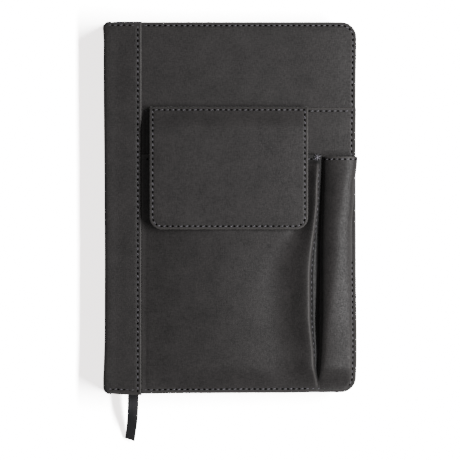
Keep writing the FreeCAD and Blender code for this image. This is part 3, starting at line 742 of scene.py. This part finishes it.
def phone_sections(y):
    """Control points (x, height over the organiser) of the pocket's middle surface at each y."""
    left = PANEL_LOW[0]
    crown = eased([(-60, CROWN), (-92, 3.2), (-106, 0.4)], y)
    crest = eased([(PHONE_MOUTH, 2.0), (18, 6.0), (-36, 8.3), (-62, 8.3), (-92, 4.9), (-106, 0.45)], y)
    ridge = eased([(PHONE_MOUTH, 52.0), (8, 51.0), (-42, 46.0), (-62, 46.1), (-90, 48.4), (TAIL, 51.5)], y)
    foot = eased([(PHONE_MOUTH, 53.2), (18, PLEAT_FOOT), (-30, PLEAT_FOOT - 1), (TAIL, 52.0)], y)
    under_flap = eased([(-36, 0.0), (-4, 1.0)], y)
    flat = np.full_like(y, 0.4)
    trough = np.minimum(crown - 1.3 * (1 - under_flap) * crown / CROWN, 6 - 3.6 * under_flap)
    wide = 1 - 0.55 * under_flap
    room = np.clip((foot - ridge) / 7.5, 0.15, 1)
    step = crest - trough
    points = [(left, flat), (left + 3, flat + 0.08 * crown), (left + 10, 0.30 * crown + 0.2),
              (left + 20, 0.64 * crown), (-12 + 0 * y, 0.96 * crown), (4 + 0 * y, crown),
              (ridge - 29 * wide, 0.5 * (crown + trough)), (ridge - 19 * wide, trough - 0.05 * step),
              (ridge - 11.5 * wide, trough + 0.14 * step), (ridge - 7 * wide, trough + 0.50 * step),
              (ridge - 3.2 * wide, trough + 0.90 * step), (ridge - 0.6, crest + 0.2 * room),
              (ridge + 0.9 * room, crest), (ridge + 1.8 * room, 0.70 * crest),
              (ridge + 2.4 * room, 0.30 * crest), (ridge + 3.4 * room, flat + 0.2), (foot - 0.8, flat),
              (foot + 1.2, flat)]
    return np.stack([np.stack(np.broadcast_arrays(x + 0 * y, z), -1) for x, z in points], 1)


SECTION_POINTS = 18
PHONE_CREST = 12


def pleat_shade(grid):
    """Painted shade: 1 down the inner face of the pleat, past its crest, and 0 elsewhere."""
    crest = grid[np.arange(len(grid)), np.argmax(grid[..., 2] + 0.02 * grid[..., 0], axis=1), 0]
    return np.clip((grid[..., 0] - crest[:, None] - 0.9) / 1.4, 0, 1)


def pocket_grid(sections, y, t):
    """The middle surface of a pocket: one spline across it for each y, from tail to mouth."""
    xz = np.einsum("tk,ykc->ytc", spline_shares(sections.shape[1], t), sections)
    return np.stack([xz[..., 0], np.broadcast_to(y[:, None], xz.shape[:2]), xz[..., 1] + POCKET_Z], -1)


phone_y = steps(TAIL - 0.1, PHONE_MOUTH, 0.45, 120)
phone_t = steps(0, 1, 0.006, 140)
phone_grid = pocket_grid(phone_sections(phone_y), phone_y, phone_t)
phone_grid[..., 2] += ripple(phone_grid[..., 0], phone_grid[..., 1], 12, 0.09) * np.clip(
    (phone_grid[..., 2] - POCKET_Z - 1.2) / 2, 0, 1)
# Painted highlight along the crest of the pleat.
phone_crest_highlight = fold_highlight_share(SECTION_POINTS, PHONE_CREST, phone_t)
# The inner face of the pleat gets painted shade.
phone_pocket, phone_top, phone_up = bent_sheet("phone_pocket", phone_grid, SKIN / 2, SKIN / 2, 0.4,
                                               (2.5, 0.12), phone_crest_highlight, pleat_shade(phone_grid))
finished(phone_pocket, COVER_LEATHER)
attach(phone_pocket, "front_cover")
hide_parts("phone_pocket_panel", "phone_pocket_pleat")

# %% [markdown]
# ## The pen pocket
# A narrow pocket beside the pleat. Its left wall is steep and its crest leans away from the pleat, which
# leaves the deep dark valley between them; painted shade darkens the foot of that wall further. From the
# crest it slopes to the fore edge: over the upper half it bulges past the seam, and below it settles onto the
# sewn margin.

# %% Pen pocket
PEN_MOUTH = span("pen_pocket")[1][1]


def pen_sections(y):
    """Control points (x, height over the organiser) of the pen pocket's middle surface at each y."""
    seam_x = eased([(PEN_MOUTH, 54.8), (-30, 53.2), (-80, 53.0), (TAIL, 52.0)], y)
    crest_x = eased([(PEN_MOUTH, 68.2), (-20, 62.8), (-82, 57.4), (TAIL, 54.2)], y)
    high = eased([(PEN_MOUTH, 7.2), (10, 8.0), (-62, 8.2), (-92, 5.0), (-106, 0.1)], y)
    bulge = eased([(PEN_MOUTH, 1.0), (8, 0.45), (-14, 0.0)], y)
    edge = RIGHT + 0.15 - (CORNER - np.sqrt(CORNER ** 2 - (CORNER - np.clip(y - TAIL, 0, CORNER)) ** 2))
    fold_x = edge - 3.3 * (1 - bulge) + 0.5 * bulge
    left, right = crest_x - seam_x, fold_x - crest_x
    points = [(seam_x - 0.6, 0 * y), (seam_x, 0 * y), (seam_x + 0.06 * left, 0.28 * high),
              (seam_x + 0.165 * left, 0.52 * high), (seam_x + 0.34 * left, 0.74 * high),
              (seam_x + 0.54 * left, 0.88 * high), (seam_x + 0.74 * left, 0.965 * high),
              (seam_x + 0.92 * left, 0.997 * high), (crest_x + 0.12 * right, high),
              (crest_x + 0.40 * right, 0.955 * high), (crest_x + 0.70 * right, 0.86 * high),
              (fold_x - 1.2, 0.78 * high), (fold_x, 0.68 * high), (fold_x + 0.3, 0.45 * high),
              (fold_x - 0.3 * bulge, 0.02 * high), (fold_x + 0.5 - 0.8 * bulge, 0 * y),
              (edge - 1.6 * (1 - bulge), 0 * y), (edge, 0 * y)]
    return np.stack([np.stack([x, z + 0.4], -1) for x, z in points], 1)


def valley_shade(grid):
    """Painted shade: 0.6 at the foot of the pen pocket's left wall, and 0 near its crest and towards the
    tail.
    """
    foot, x = grid[:, :1, 0], grid[..., 0]
    crest = np.take_along_axis(x, np.argmax(grid[..., 2], axis=1)[:, None], 1)
    open_part = np.clip((grid[..., 1] - TAIL - 14) / 40, 0, 1)
    return 0.6 * open_part * np.clip(1 - (x - foot) / (0.75 * (crest - foot)), 0, 1) ** 2


PEN_FOLD = 12
pen_y = steps(TAIL - 0.1, PEN_MOUTH, 0.45, 120)
pen_t = steps(0, 1, 0.006, 70)
pen_grid = pocket_grid(pen_sections(pen_y), pen_y, pen_t)
pen_grid[..., 2] += ripple(pen_grid[..., 0], pen_grid[..., 1], 9, 0.08) * np.clip(
    (pen_grid[..., 2] - POCKET_Z - 1.2) / 3, 0, 1)
# Painted highlight along the fold of the pen pocket, at 0.6 strength.
pen_fold_highlight = 0.6 * fold_highlight_share(SECTION_POINTS, PEN_FOLD, pen_t)
# The foot of the left wall gets painted shade.
pen_pocket, pen_top, pen_up = bent_sheet("pen_pocket_leather", pen_grid, SKIN / 2, SKIN / 2, 0.4, (2.0, 0.12),
                                         pen_fold_highlight, valley_shade(pen_grid))
finished(pen_pocket, COVER_LEATHER)
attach(pen_pocket, "front_cover")
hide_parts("pen_pocket")

# %% [markdown]
# ## The flap
# Leather and lining sewn back to back round their edge. It is sewn down along its head edge, climbs over
# the mouth of the pocket and lies on the phone pocket, where magnets hold it. On the book it opens about its
# fold; here leather, lining and thread are baked in place and not blended from the cover to the flap.

# %% Flap
FLAP_LOW, FLAP_HIGH = span("flap_leather")
FLAP_LEFT, FLAP_RIGHT = FLAP_LOW[0], FLAP_HIGH[0]
FLAP_UNDER = span("flap_magnet")[0][2] - 0.4
FLAP_THICK = 1.8
FLAP_SPLIT = 0.82
FLAP_ROUND = 0.55
FLAP_CORNERS = (7.2, 0.8, 0.8, 7.2)
LINING_CORNERS = (6.9, 0.6, 0.6, 6.9)
LINING_INSET = 0.35
LINING_ROUND = 0.3
FLAP_BOX = (FLAP_LEFT, FLAP_RIGHT + 0.3, FLAP_LOW[1], PANEL_TOP + 0.4)


def flap_lift(x, y):
    """Height of the flap's underside: a tight roll at the fold, an ease up to the pocket, and a low crown."""
    root, top = POCKET_Z + 0.05, FLAP_UNDER
    roll = rounded_end(FLAP_BOX[3] - y, 1.3)
    rise = eased([(0.0, 0.0), (14.0, 1.0)], FLAP_BOX[3] - y)
    u = (2 * x - FLAP_LEFT - FLAP_RIGHT) / (FLAP_RIGHT - FLAP_LEFT)
    crown = 0.55 * (1 - np.minimum(np.abs(u), 1) ** 4) * rise
    return root + (top - root) * (0.5 * roll + 0.5 * rise) + crown + ripple(x, y, 10, 0.06) * rise


def fold_blend(piece):
    """Bakes a piece's transform into its mesh; the piece is not blended across the fold."""
    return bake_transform(piece)


flap_reach = (FLAP_BOX[1] - FLAP_BOX[0]) / 2
ring_insets = np.concatenate([FLAP_ROUND * (1 - np.cos(np.linspace(0, np.pi / 2, 6))),
                              np.linspace(FLAP_ROUND, 6, 15)[1:],
                              np.linspace(6, min(flap_reach, (FLAP_BOX[3] - FLAP_BOX[2]) / 2), 30)[1:]])
flap_round = FLAP_ROUND * (1 - rounded_end(ring_insets, FLAP_ROUND))
face = FLAP_THICK - flap_round - dent(ring_insets, LAP_INSET, 0.16)
insets = np.concatenate([ring_insets[::-1], [0.0, 0.25], ring_insets[8:]])
heights = np.concatenate([face[::-1], [FLAP_SPLIT + 0.13], np.full(len(ring_insets) - 7, FLAP_SPLIT)])
flap = plate("flap_top", FLAP_BOX, FLAP_CORNERS, insets, heights, lift=flap_lift, side_steps=44)
finished(flap, COVER_LEATHER)
fold_blend(flap)
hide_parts("flap_leather", "flap_fold", "flap_sewn_edge")

under_box = tuple(side + way * LINING_INSET for side, way in zip(FLAP_BOX, (1, -1, 1, -1)))
lining_round = LINING_ROUND * (1 - rounded_end(ring_insets, LINING_ROUND))
face = FLAP_SPLIT + 0.02 - lining_round
back = lining_round + dent(ring_insets, LAP_INSET - LINING_INSET, 0.15)
insets = np.concatenate([ring_insets[::-1], ring_insets])
heights = np.concatenate([face[::-1], back])
flap_under = plate("flap_underside", under_box, LINING_CORNERS, insets, heights, lift=flap_lift,
                   side_steps=44)
finished(flap_under, POCKET_LINING)
fold_blend(flap_under)
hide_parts("flap_lining")

# %% [markdown]
# ## Seams
# Each seam follows the leather that it holds. Along the cover's edge the level changes where layers
# overlap, so it is worked out from the place. Across the pockets the path is a row or a column of the
# pocket's own grid. Stitches on leather that bends are baked in place in the same way as that leather.

# %% Seams of the covers
def cover_seam(level, up):
    """The ring SEAM_INSET inside the cover, from the lap at the head to the lap at the tail."""
    ring = outline((LEFT, RIGHT, TAIL, HEAD), (CORNER, CORNER, 1, 1), [SEAM_INSET], side_steps=160)[0]
    covered = ring[:, 0] > LAP_X + 0.6
    ring = np.roll(ring[:-1], -int(np.argmin(covered)), axis=0)
    ring = ring[ring[:, 0] > LAP_X + 0.6]
    return facing(np.concatenate([ring, level(ring[:, 0], ring[:, 1])[:, None]], 1), up)


def front_level(x, y):
    """Height of the outer face along the seam of the front cover."""
    sewn_pocket = np.where(x > PLEAT_FOOT - 1, y < PEN_MOUTH, y < TAIL + 5)
    return np.where(y > PANEL_TOP, FRONT_TOP, POCKET_Z + np.where(sewn_pocket, SKIN, 0)) - 0.1


def on_open_margin(x, y):
    """Leaves out the stitches under the pen pocket's bulge, and those that would bridge a step."""
    bulge = (x > RIGHT - CORNER) & (y > -31) & (y < PEN_MOUTH + 1.2)
    return ~bulge & (np.abs(y - PANEL_TOP) > 1.2)


def plain(z):
    """The same level everywhere."""
    return lambda x, y: np.full_like(x, z)


edge_seam = seam("edge_seam", cover_seam(front_level, (0, 0, 1)), keep=on_open_margin)
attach(edge_seam, "front_cover")
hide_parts("cover_edge_thread")

inner_seam = seam("front_inner_seam", cover_seam(plain(FRONT_LOW[2]), (0, 0, -1)))
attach(inner_seam, "front_cover")

BACK_DENT = 0.42
BACK_LAP = 0.22
back_x, end_inset = LAP_X - 2.3, 2.0
back_seam = seam("back_seam", cover_seam(plain(BACK_DENT), (0, 0, -1)),
                 straight(back_x, TAIL + 5, back_x, HEAD - 5, BACK_LAP, (0, 0, -1)),
                 straight(LEFT + 5, HEAD - end_inset, LAP_X - 2, HEAD - end_inset, BACK_LAP, (0, 0, -1)),
                 straight(LEFT + 5, TAIL + end_inset, LAP_X - 2, TAIL + end_inset, BACK_LAP, (0, 0, -1)),
                 rise=0.02)
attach(back_seam, "back_case")

back_inner_seam = seam("back_inner_seam", cover_seam(plain(BACK_HIGH[2]), (0, 0, 1)))
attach(back_inner_seam, "back_case")

lap_x, lap_z = LAP_X - 2.2, LAP_TOP - 0.1
spine_seam = seam("spine_seam", straight(lap_x, TAIL + 1.4, lap_x, HEAD - 1.4, lap_z),
                  straight(LEFT + 1.8, HEAD - end_inset, LAP_X - 3.4, HEAD - end_inset, lap_z),
                  straight(LEFT + 1.8, TAIL + end_inset, LAP_X - 3.4, TAIL + end_inset, lap_z))
joint_blend(spine_seam)
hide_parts("lap_thread")

# %% Seams of the pockets and the flap
def grid_row(top, up, y, low, high):
    """The path along a pocket's grid at y, between two shares of its columns."""
    row = int(np.argmin(np.abs(top[:, top.shape[1] // 2, 1] - y)))
    cols = slice(int(low * top.shape[1]), int(high * top.shape[1]))
    return np.concatenate([top[row, cols], up[row, cols]], 1)


def grid_column(top, up, share, low, high):
    """The path down a pocket's grid at a share of its columns, between two places along it."""
    col = int(share * top.shape[1])
    rows = (top[:, col, 1] > low) & (top[:, col, 1] < high)
    return np.concatenate([top[rows, col], up[rows, col]], 1)


pocket_seam = seam("pocket_seam", grid_row(phone_top, phone_up, PHONE_MOUTH - 2.2, 0.06, 0.66),
                   grid_column(phone_top, phone_up, 0.80, -88, 24),
                   grid_row(pen_top, pen_up, PEN_MOUTH - 2.0, 0.16, 0.86), rise=0.2)
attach(pocket_seam, "front_cover")

top_y, top_z = PANEL_TOP - 2, POCKET_Z - 0.06
organiser_seam = seam("organiser_seam", straight(LAP_X + 0.8, top_y, FLAP_BOX[0] - 0.4, top_y, top_z),
                      straight(FLAP_BOX[1] + 0.9, top_y, RIGHT - 3.4, top_y, top_z))
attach(organiser_seam, "front_cover")
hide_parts("organiser_thread")


def flap_seam_path():
    """The ring LAP_INSET inside the flap, on its leather, with the leather's own slope as its normal."""
    x, y = outline(FLAP_BOX, FLAP_CORNERS, [LAP_INSET], side_steps=80)[0].T
    z = flap_lift(x, y) + FLAP_THICK - 0.1
    slope = (flap_lift(x, y + 0.2) - flap_lift(x, y - 0.2)) / 0.4
    return np.stack([x, y, z, 0 * x, -slope, 0 * x + 1], 1)


flap_seam = seam("flap_seam", flap_seam_path())
fold_blend(flap_seam)
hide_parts("flap_thread", "flap_seam_thread")


def tack_star(name, centre, arms=7):
    """Packed stitches that cross at the mouth of the pleat, like the spokes of a small wheel."""
    turn = np.arange(arms) * 2 * np.pi / arms + 0.3
    way = np.stack([np.cos(turn), np.sin(turn), 0 * turn], 1)
    reach = np.where(np.arange(arms) % 2, 1.0, 1.35)[:, None]
    point = np.asarray(centre) + way * reach
    up = np.broadcast_to((0.0, 0.0, 1.0), point.shape)
    star = copies(stitch_grain(2.1, 0.6, 0.25), point, way, up)
    knot = copies(stitch_grain(1.5, 1.1, 0.3), np.asarray([centre]) + (0, 0, 0.15), way[:1], up[:1])
    return finished(surface(name, star, knot), SEAM_THREAD)


bar_tack = tack_star("bar_tack_star", (51.4, PHONE_MOUTH - 1.6, POCKET_Z + 3.3))
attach(bar_tack, "front_cover")
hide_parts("bar_tack")

# %% [markdown]
# ## The pages
# A solid block with lines painted on its edge would pass from afar. Here every leaf is its own thin
# plate, a little out of line with the next, so that the fore edge and the ruled faces hold up close to
# and open. All leaves of a group are one array.

# %% Leaves
LEAF = 0.1
LEAF_HALF = 0.038
LEAF_CORNERS = (5.6, 5.6, 0.1, 0.1)


def leaf_stack(name, low, high, seed):
    """Thin plates between two levels, each with its outline at both faces and shut in the middle."""
    count = int(round((high[2] - low[2]) / LEAF))
    shift = np.random.default_rng(seed).normal(0, 0.09, (count, 2)).clip(-0.2, 0.2)
    box = (low[0], high[0], low[1], high[1])
    middle = (high[0] - low[0]) / 2
    ring = outline(box, LEAF_CORNERS, [middle, 0.0, 0.0, middle], corner_steps=6, side_steps=4)
    grid = np.broadcast_to(ring, (count,) + ring.shape).copy()
    fore = np.clip((grid[..., 0] - low[0]) / (high[0] - low[0]), 0, 1)
    grid[..., 0] += shift[:, 0, None, None] * fore
    grid[..., 1] += shift[:, 1, None, None]
    base = low[2] + (np.arange(count) + 0.5) * (high[2] - low[2]) / count
    z = base[:, None, None] + LEAF_HALF * np.array([1, 1, -1, -1])[None, :, None]
    leaves = surface(name, np.concatenate([grid, np.broadcast_to(z, grid.shape[:-1])[..., None]], -1))
    leaves.data.polygons.foreach_set("use_smooth", np.zeros(len(leaves.data.polygons), bool))
    return leaves


RULE_SPACING = 0.007
RULED_FROM_TO = (-0.094, 0.086)


def paper(name, ruled):
    """Uncoated paper: faint fibres, leaves that differ a little in tone, and ruled lines on their faces."""
    finish, tree, shader = new_finish(name, 0.85)
    fibre, leaf = flecks(tree, (1, 1, 1), 900), flecks(tree, (0.02, 0.02, 1), 5200)
    tone = worked(tree, "ADD", worked(tree, "MULTIPLY", fibre, 0.4), worked(tree, "MULTIPLY", leaf, 0.6))
    colour = blended(tree, ranged(tree, tone, 0.35, 0.65), (0.66, 0.63, 0.55, 1), (0.82, 0.80, 0.73, 1))
    if ruled:
        coordinates = add_node(tree, "ShaderNodeTexCoord")
        y = add_node(tree, "ShaderNodeSeparateXYZ", {"Vector": coordinates.outputs["Object"]}).outputs["Y"]
        face = add_node(tree, "ShaderNodeSeparateXYZ", {"Vector": coordinates.outputs["Normal"]}).outputs["Z"]
        row = worked(tree, "FRACT", worked(tree, "DIVIDE", worked(tree, "ADD", y, 0.2), RULE_SPACING))
        off_line = worked(tree, "ABSOLUTE", worked(tree, "SUBTRACT", row, 0.5))
        line = worked(tree, "LESS_THAN", off_line, 0.028)
        below_head = worked(tree, "LESS_THAN", y, RULED_FROM_TO[1])
        writing = worked(tree, "MULTIPLY", below_head, worked(tree, "GREATER_THAN", y, RULED_FROM_TO[0]))
        flat = worked(tree, "GREATER_THAN", worked(tree, "ABSOLUTE", face), 0.7)
        ink = worked(tree, "MULTIPLY", flat, 0.75)
        share = worked(tree, "MULTIPLY", worked(tree, "MULTIPLY", line, writing), ink)
        colour = blended(tree, share, colour, (0.36, 0.38, 0.42, 1))
    tree.links.new(colour, shader.inputs["Base Color"])
    raised(tree, shader, fibre, 0.00003)
    return finish


RULED_PAPER, PLAIN_PAPER = paper("ruled_paper", True), paper("plain_paper", False)
sections = [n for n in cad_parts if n.startswith("page_section")]
block_low = np.min([span(n)[0] for n in sections], axis=0)
block_high = np.max([span(n)[1] for n in sections], axis=0)
pages = finished(leaf_stack("pages", block_low, block_high, 3), RULED_PAPER)
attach(pages, "back_case")
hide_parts(*sections)
for body, seed in (("first_leaves", 5), ("second_leaves", 7)):
    turning = finished(leaf_stack(body + "_sheets", *span(body), seed), RULED_PAPER)
    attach(turning, body)
    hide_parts(body)

# %% [markdown]
# ## Head and tail bands
# A band of striped cloth closes the ends of the sewn back. It is a small tube whose threads wind round
# it, so its radius swells with each turn, and its colour changes with every few turns.

# %% Bands
def woven_band(name, node):
    """A tube whose radius is r + 0.06 cos(turns), with its ends drawn in."""
    low, high = span(node)
    z = np.linspace(low[2], high[2], 97)[:, None]
    turn = np.linspace(0, 2 * np.pi, 21)[None]
    ends = rounded_end(np.minimum(z - low[2], high[2] - z), 0.4)
    r = ((high[0] - low[0]) / 2 + 0.06 * np.cos(z * 2 * np.pi / 0.6)) * ends
    x, y, _ = (low + high) / 2
    return surface(name, np.stack(np.broadcast_arrays(x + r * np.cos(turn), y + r * np.sin(turn), z), -1))


def striped_cloth(name, first, second):
    """Two colours of thread in turns of 1.2 mm along Z."""
    finish, tree, shader = new_finish(name, 0.6)
    z = add_node(tree, "ShaderNodeSeparateXYZ",
                 {"Vector": add_node(tree, "ShaderNodeTexCoord").outputs["Object"]}).outputs["Z"]
    stripe = worked(tree, "LESS_THAN", worked(tree, "FRACT", worked(tree, "DIVIDE", z, 0.0024)), 0.5)
    tree.links.new(blended(tree, stripe, first, second), shader.inputs["Base Color"])
    raised(tree, shader, flecks(tree, (1, 1, 0.1), 3000), 0.00005)
    return finish


BAND_CLOTH = striped_cloth("band_cloth", (0.035, 0.033, 0.036, 1), (0.5, 0.49, 0.46, 1))
for node in ("head_band", "tail_band"):
    band = finished(woven_band(node + "_cloth", node), BAND_CLOTH)
    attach(band, "back_case")
    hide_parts(node)

# %% [markdown]
# ## Parts of the frame that stay
# The boards, linings, endpapers, the cloth on the back of the sections and the magnets have the right
# shape already. They keep their meshes and get finishes that suit what they are.

# %% Finishes for the frame's own parts
def greyboard(name):
    """Pressed waste paper: coarse grey flecks."""
    finish, tree, shader = new_finish(name, 0.9)
    pulp = ranged(tree, flecks(tree, (1, 1, 3), 700, 4.0), 0.35, 0.65)
    tree.links.new(blended(tree, pulp, (0.16, 0.15, 0.13, 1), (0.34, 0.32, 0.28, 1)),
                   shader.inputs["Base Color"])
    raised(tree, shader, flecks(tree, (1, 1, 1), 1800), 0.00008)
    return finish


def open_cloth(name):
    """Gauze: two sets of fine threads that cross."""
    finish, tree, shader = new_finish(name, 0.9)
    weave = worked(tree, "MAXIMUM", flecks(tree, (0.03, 1, 1), 2200), flecks(tree, (1, 1, 0.03), 2200))
    colour = blended(tree, ranged(tree, weave, 0.4, 0.7), (0.45, 0.44, 0.40, 1), (0.75, 0.74, 0.70, 1))
    tree.links.new(colour, shader.inputs["Base Color"])
    raised(tree, shader, weave, 0.0001)
    return finish


def plated(name):
    """Nickel plate with faint brushing."""
    finish, tree, shader = new_finish(name, 0.3)
    brushing = flecks(tree, (1, 0.03, 1), 2500)
    shader.inputs["Metallic"].default_value = 1.0
    tree.links.new(blended(tree, brushing, (0.5, 0.49, 0.47, 1), (0.66, 0.65, 0.63, 1)),
                   shader.inputs["Base Color"])
    tree.links.new(ranged(tree, brushing, 0.3, 0.7, 0.22, 0.42), shader.inputs["Roughness"])
    return finish


KEPT = {
    greyboard("greyboard"): ("front_board", "back_board", "spine_board"),
    leather("case_lining", (0.022, 0.021, 0.021, 1), (0.044, 0.042, 0.042, 1), (0.05, 0.05, 0.05, 1), 0.78):
        ("front_lining", "back_lining"),
    PLAIN_PAPER: ("front_pastedown", "back_pastedown", "front_flyleaf", "back_flyleaf"),
    open_cloth("mull"): ("spine_mull",),
    plated("magnet_plate"): ("flap_magnet", "pocket_magnet_plate"),
}
for finish, nodes in KEPT.items():
    for node in nodes:
        finished(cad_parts[node], finish)
print(f"{sum(len(n) for n in KEPT.values())} of {len(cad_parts)} parts keep their own mesh")

# %% [markdown]
# ## Floor and light
# The object lies on a white sweep, under a lamp that stands high on the fore-edge side. Dark leather and
# a white ground can't share one exposure, so a studio lights the ground apart. A second lamp beside the
# first reaches the floor alone, and the floor's own light isn't passed on. What a pale room sends back
# comes from the world, which is brighter below the horizon than above it.

# %% Floor
def white_sweep(name, glow):
    """A matt white that glows a little, as an overlit ground does even in the shade."""
    finish, tree, shader = new_finish(name, 0.9)
    shader.inputs["Base Color"].default_value = (0.9, 0.9, 0.9, 1)
    shader.inputs["Specular IOR Level"].default_value = 0.1
    shader.inputs["Emission Color"].default_value = (1.0, 0.94, 0.925, 1)
    shader.inputs["Emission Strength"].default_value = glow
    return finish


floor_lines = np.linspace(-3000, 3000, 9)
floor_grid = np.broadcast_arrays(floor_lines[None, :], floor_lines[:, None], -0.02)
floor = surface("floor", np.stack(floor_grid, -1))
finished(floor, white_sweep("white_sweep", 3.15))
floor.visible_diffuse = floor.visible_glossy = False

# %% Lamps
KEY_RISE = np.radians(51)


def lamp(name, distance, power):
    """A strip lamp beside the fore edge, parallel to it. Its length and width are shares of its distance."""
    data = bpy.data.lights.new(name, "AREA")
    data.shape = "RECTANGLE"
    data.size, data.size_y, data.energy = 0.9 * distance, 0.09 * distance, power * distance ** 2
    light = bpy.data.objects.new(name, data)
    light.location = np.array((np.cos(KEY_RISE), 0, np.sin(KEY_RISE))) * distance
    light.rotation_euler = light.location.to_track_quat("Z", "Y").to_euler()
    bpy.context.scene.collection.objects.link(light)
    return light


def reaches(light, name, *objects):
    """Limits a lamp to some objects. They and all others still cast its shadow."""
    group = bpy.data.collections.new(name)
    for thing in objects:
        group.objects.link(thing)
    light.light_linking.receiver_collection = group


everything = [o for o in bpy.context.scene.objects if o.type == "MESH" and o is not floor]
reaches(lamp("key", 0.7, 14.5), "lit_by_key", *everything)
reaches(lamp("ground_light", 2.2, 240), "lit_by_ground_light", floor)

# %% World
world = bpy.data.worlds.new("pale_room")
bpy.context.scene.world = world
world.use_nodes = True
sky = world.node_tree
height = add_node(sky, "ShaderNodeSeparateXYZ",
                  {"Vector": add_node(sky, "ShaderNodeTexCoord").outputs["Generated"]}).outputs["Z"]
room = ranged(sky, height, -0.1, 0.1, 0.7, 0.22)
sky.links.new(room, sky.nodes["Background"].inputs["Strength"])
sky.nodes["Background"].inputs["Color"].default_value = (1, 1, 1, 1)
